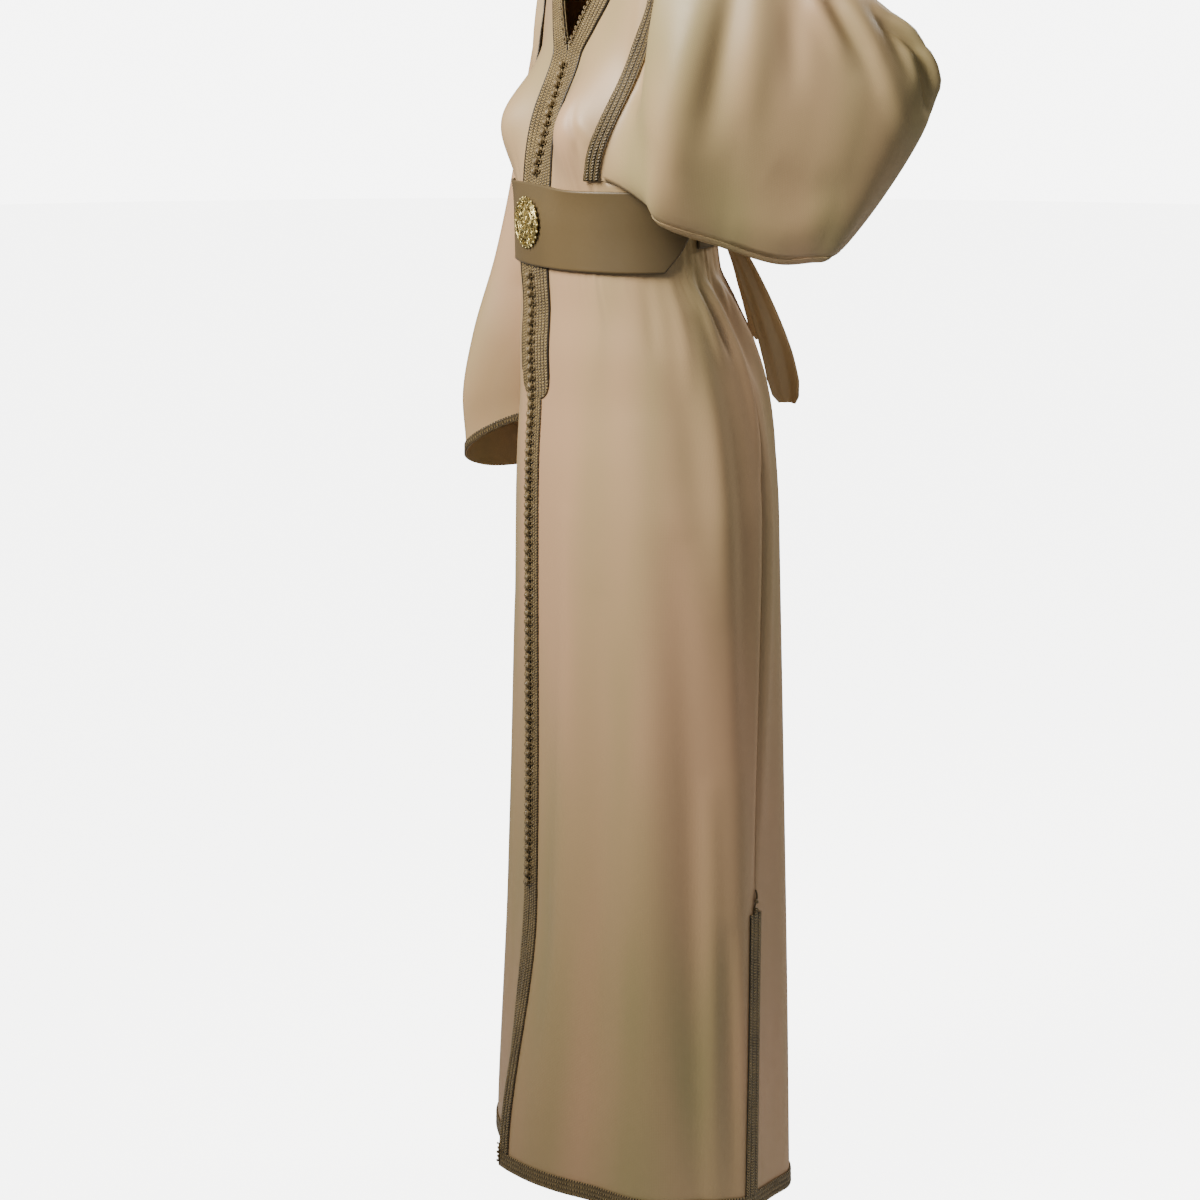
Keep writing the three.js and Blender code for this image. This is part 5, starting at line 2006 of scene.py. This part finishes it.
@dataclass
class Sash:
    """Soft knot behind the left side with a long and a short hanging end."""

    cloth: Cloth
    finishes: Finishes
    thick: float = 1.8
    knot_angle: float = 146.0
    knot_lift: float = 12.3
    knot_z: float = -309.0
    knot_size: tuple[float, float, float] = (19.0, 10.0, 20.0)
    end_grid: tuple[int, int] = (90, 25)
    across: tuple[float, float, float] = (0.66, 0.75, 0.0)
    long_end: tuple[tuple[float, float, float, float], ...] = (
        (86, 93, -325.4, 13),
        (88, 104, -345, 20),
        (87, 124, -385, 28),
        (84, 140, -420, 32),
        (81, 153, -452, 35),
        (79, 162, -482, 36),
        (78, 166, -500, 30),
        (78, 168, -508, 18),
    )
    short_end: tuple[tuple[float, float, float, float], ...] = (
        (74.3, 94.2, -326, 10),
        (65, 112, -346, 18),
        (55, 130, -378, 25),
        (50, 143, -408, 27),
        (47, 150, -432, 24),
        (46, 153, -442, 15),
    )

    def end(self, table: tuple[tuple[float, float, float, float], ...], fold: float) -> Sheet:
        """Grid of a hanging end.

        Args:
            table: Middle line and width.
            fold: Share of the width where the soft fold runs.

        Returns:
            Its sheet.
        """
        rows = np.array(table, float)
        line = Loft(rows[:, None, :3])
        place = np.linspace(0, line.knots[-1], self.end_grid[0])
        middle = line.at(place)[:, 0]
        wide = np.interp(place, line.knots, rows[:, 3])
        across = unit(np.array(self.across))
        ahead = unit(np.gradient(middle, axis=0))
        normal = unit(np.cross(across, ahead))
        share = np.linspace(-0.5, 0.5, self.end_grid[1])
        cup = 12 * (0.25 - share**2)
        down = place[:, None] / line.knots[-1]
        ridge = 2.6 * np.exp(-(((share[None, :] - fold) / 0.13) ** 2)) * (1 - 0.45 * down)
        dip = -2.0 * np.exp(-(((share[None, :] + fold * 0.8) / 0.12) ** 2)) * (1 - 0.5 * down)
        ripple = 0.7 * np.sin(down * 9 + share[None, :] * 5) * smooth(0.1, 0.4, down)
        lift = cup[None, :] + ridge + dip + ripple
        points = middle[:, None] + across * (share[None, :, None] * wide[:, None, None])
        points = points + normal[:, None] * lift[..., None]
        toward = np.broadcast_to(normal[:, None], points.shape)
        return Sheet(points, grid_normals(points, False, toward))

    def knot(self) -> Piece:
        """The knot, with the turns of cloth as soft ridges."""
        row = self.cloth.row(self.knot_z)
        normal = self.cloth.outward(self.knot_angle, row)
        centre = self.cloth.surface(self.knot_angle, row) + normal * self.knot_lift
        across = unit(np.cross(np.array([0.0, 0.0, 1.0]), normal))
        clear_selection()
        bpy.ops.mesh.primitive_uv_sphere_add(segments=72, ring_count=48, radius=1)
        knot = bpy.context.object
        x, z, y = vertex_places(knot).T
        pinch = 1 - 0.22 * np.exp(-(x**2) * 9)
        turns = 0.05 * np.sin(11 * y + 4 * x + 1) + 0.035 * np.sin(19 * x + 3 * y)
        size = 0.95 + turns
        wide, deep, tall = self.knot_size
        points = centre + across * (x * wide * size)[:, None] + normal * (z * deep * pinch * size)[:, None]
        points[:, 2] += y * tall * pinch * size
        move_vertices(knot, points * MM)
        bpy.ops.object.mode_set(mode="EDIT")
        bpy.ops.mesh.select_all(action="SELECT")
        bpy.ops.mesh.normals_make_consistent(inside=False)
        bpy.ops.object.mode_set(mode="OBJECT")
        bpy.ops.object.shade_smooth()
        knot.name = "sash_cloth_knot"
        return knot

    def build(self) -> list[Piece]:
        """Model the knot and the ends.

        Returns:
            The pieces.
        """
        knot = finish_piece(self.knot(), self.finishes.sash, "sash", "sash_knot")
        made = [knot]
        for name, table, fold in (("long", self.long_end, 0.18), ("short", self.short_end, -0.12)):
            sheet = self.end(table, fold)
            piece = lay_sheet(f"sash_cloth_{name}", sheet, self.thick)
            finish_piece(piece, self.finishes.sash, "sash", f"sash_end_{name}")
            declare(piece, [sheet])
            made.append(piece)
        return made


@dataclass(frozen=True)
class Lamp:
    """A soft square light: metres towards the camera, to its right and up, then what it looks at."""

    name: str
    near: float
    right: float
    up: float
    aim: tuple[float, float, float]
    size: float
    power: float
    colour: tuple[float, float, float]
    spread: float


@dataclass(frozen=True)
class Studio:
    """Camera, soft lights and pale ground."""

    azimuth: float = 67.0
    distance: float = 2.9
    height: float = -0.043
    aside: float = -0.0186
    pitch: float = 13.32
    lens: float = 80.54
    sensor: float = 36.0
    ground: float = -1.46
    ground_radius: float = 14.0
    room: Colour = (0.97, 0.97, 0.96, 1)
    seen: float = 7.0
    ambient: float = 0.14
    lamps: tuple[Lamp, ...] = (
        Lamp("key", 0.9, -1.25, 0.85, (0.02, -0.05, -0.12), 1.2, 18, (1.0, 0.95, 0.87), 62),
        Lamp("fill", 2.4, 1.5, 0.5, (0, 0, -0.5), 1.6, 6.5, (1.0, 0.96, 0.9), 180),
        Lamp("rear", -0.9, 1.7, 0.9, (0.05, -0.05, -0.2), 0.8, 17, (1.0, 0.97, 0.92), 130),
    )

    def place(self, near: float, right: float, up: float) -> Vector:
        """Place in metres, from steps towards the camera, to its right and up."""
        turn = self.azimuth * DEG
        back = Vector((math.sin(turn), -math.cos(turn), 0))
        aside = Vector((math.cos(turn), math.sin(turn), 0))
        return back * near + aside * right + Vector((0, 0, up))

    def camera(self) -> None:
        """Place the camera."""
        spot = self.place(self.distance, self.aside, self.height)
        way = ((90 - self.pitch) * DEG, 0, self.azimuth * DEG)
        bpy.ops.object.camera_add(location=spot, rotation=way)
        camera = bpy.context.object
        camera.name = "camera"
        camera.data.lens = self.lens
        camera.data.sensor_width = self.sensor
        bpy.context.scene.camera = camera

    def light(self, lamp: Lamp) -> None:
        """Add a lamp that looks at its aim, its spread in degrees."""
        place = self.place(lamp.near, lamp.right, lamp.up)
        way = (Vector(lamp.aim) - place).to_track_quat("-Z", "Y").to_euler()
        bpy.ops.object.light_add(type="AREA", location=place, rotation=way)
        light = bpy.context.object
        light.name = lamp.name
        light.data.size = lamp.size
        light.data.energy = lamp.power
        light.data.color = lamp.colour
        light.data.spread = lamp.spread * DEG

    def surround(self) -> None:
        """Pale room: brighter to the eye than the light that it gives."""
        world = bpy.data.worlds.new("pale_room")
        bpy.context.scene.world = world
        world.use_nodes = True
        sheet = NodeSheet(world.node_tree)
        seen = sheet.add("ShaderNodeLightPath").outputs["Is Camera Ray"]
        strength = sheet.math("MULTIPLY_ADD", seen, self.seen - self.ambient, self.ambient)
        shade = sheet.add("ShaderNodeBackground", in_0=self.room, in_1=strength)
        output = sheet.add("ShaderNodeOutputWorld")
        sheet.link(shade.outputs[0], output.inputs[0])

    def build(self, finishes: Finishes) -> None:
        """Light the garment and lay the ground."""
        clear_selection()
        self.camera()
        for lamp in self.lamps:
            self.light(lamp)
        self.surround()
        clear_selection()
        bpy.ops.mesh.primitive_circle_add(
            vertices=64, radius=self.ground_radius, fill_type="NGON", location=(0, 0, self.ground)
        )
        ground = bpy.context.object
        ground.name = "ground"
        ground.data.materials.append(finishes.ground)


LEFT_FOLDS = (
    # The drop fold from the shoulder comes first, with the long ridges beside it
    (((114, -30), (109, -77), (97, -150), (88, -205)), 16, -8.5),
    (((72, -50), (60, -110), (50, -190), (56, -250)), 22, 6),
    (((140, -40), (136, -100), (124, -200)), 18, 5),
    (((168, -66), (170, -110), (172, -160)), 13, -3.5),
    (((184, -60), (194, -84), (210, -110), (222, -134)), 9, 6),
    (((202, -66), (216, -92), (238, -124), (252, -156)), 8, -5),
    (((214, -60), (228, -87), (262, -150), (286, -204)), 12, 6),
    (((248, -86), (268, -111), (288, -150)), 6, -5),
    (((262, -98), (280, -110), (296, -124), (306, -150), (310, -186)), 6, -13),
    (((276, -96), (300, -108), (314, -140), (318, -170)), 8, 7),
    (((30, -150), (38, -200), (60, -250)), 14, 3),
    (((150, -240), (190, -264), (226, -262)), 20, -3),
    (((110, -290), (160, -306), (206, -300)), 18, 3),
)

LEFT_HIDDEN_FOLDS = (
    (((100, -80), (110, -150), (104, -240)), 18, -5),
    (((150, -90), (160, -170), (150, -270)), 16, 4),
    (((210, -110), (216, -180), (204, -260)), 12, -4),
    (((260, -140), (262, -190), (250, -240)), 9, 3.5),
)

RIGHT_FOLDS = (
    (((-40, -60), (-52, -160), (-60, -300)), 14, 5),
    (((10, -80), (0, -200), (-6, -330)), 16, -6),
    (((-60, -400), (-30, -440), (24, -452)), 11, -7),
    (((-80, -450), (-40, -482), (16, -488)), 9, 7),
    (((-96, -500), (-60, -524), (-10, -520)), 9, -6),
    (((-60, -560), (-20, -576), (30, -560)), 9, 4),
)

RIGHT_HIDDEN_FOLDS = (
    (((-40, -60), (-46, -170), (-50, -300)), 14, 4),
    (((14, -80), (8, -200), (0, -330)), 15, -5),
    (((-66, -350), (-30, -392), (24, -400)), 12, -5),
    (((-84, -410), (-44, -446), (10, -452)), 11, 5),
)


def main() -> None:
    """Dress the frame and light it."""
    logging.basicConfig(level=logging.INFO)
    finishes = Finishes()
    cloth = Cloth()
    Studio().build(finishes)
    panels = Panels(cloth, finishes).build()
    left = Sleeve(cloth, finishes, Side.LEFT, LEFT_RINGS, LEFT_FOLDS, LEFT_HIDDEN_FOLDS, (0.39, 0.92))
    right = Sleeve(cloth, finishes, Side.RIGHT, RIGHT_RINGS, RIGHT_FOLDS, RIGHT_HIDDEN_FOLDS, (0.0, -1.0))
    sleeves = left.build() + right.build()
    braids = Braids(cloth, finishes).build()
    cords = Cords(cloth, finishes).build()
    buttons = Buttons(cloth, finishes).build()
    belt = Belt(cloth, finishes).build()
    brooch = Brooch(cloth, finishes).build()
    sash = Sash(cloth, finishes).build()
    everything = panels + sleeves + braids + cords + buttons + belt + brooch + sash
    LOG.info("%d pieces, %d faces", len(everything), sum(len(piece.data.polygons) for piece in everything))
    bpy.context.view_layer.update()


if __name__ == "__main__":
    main()
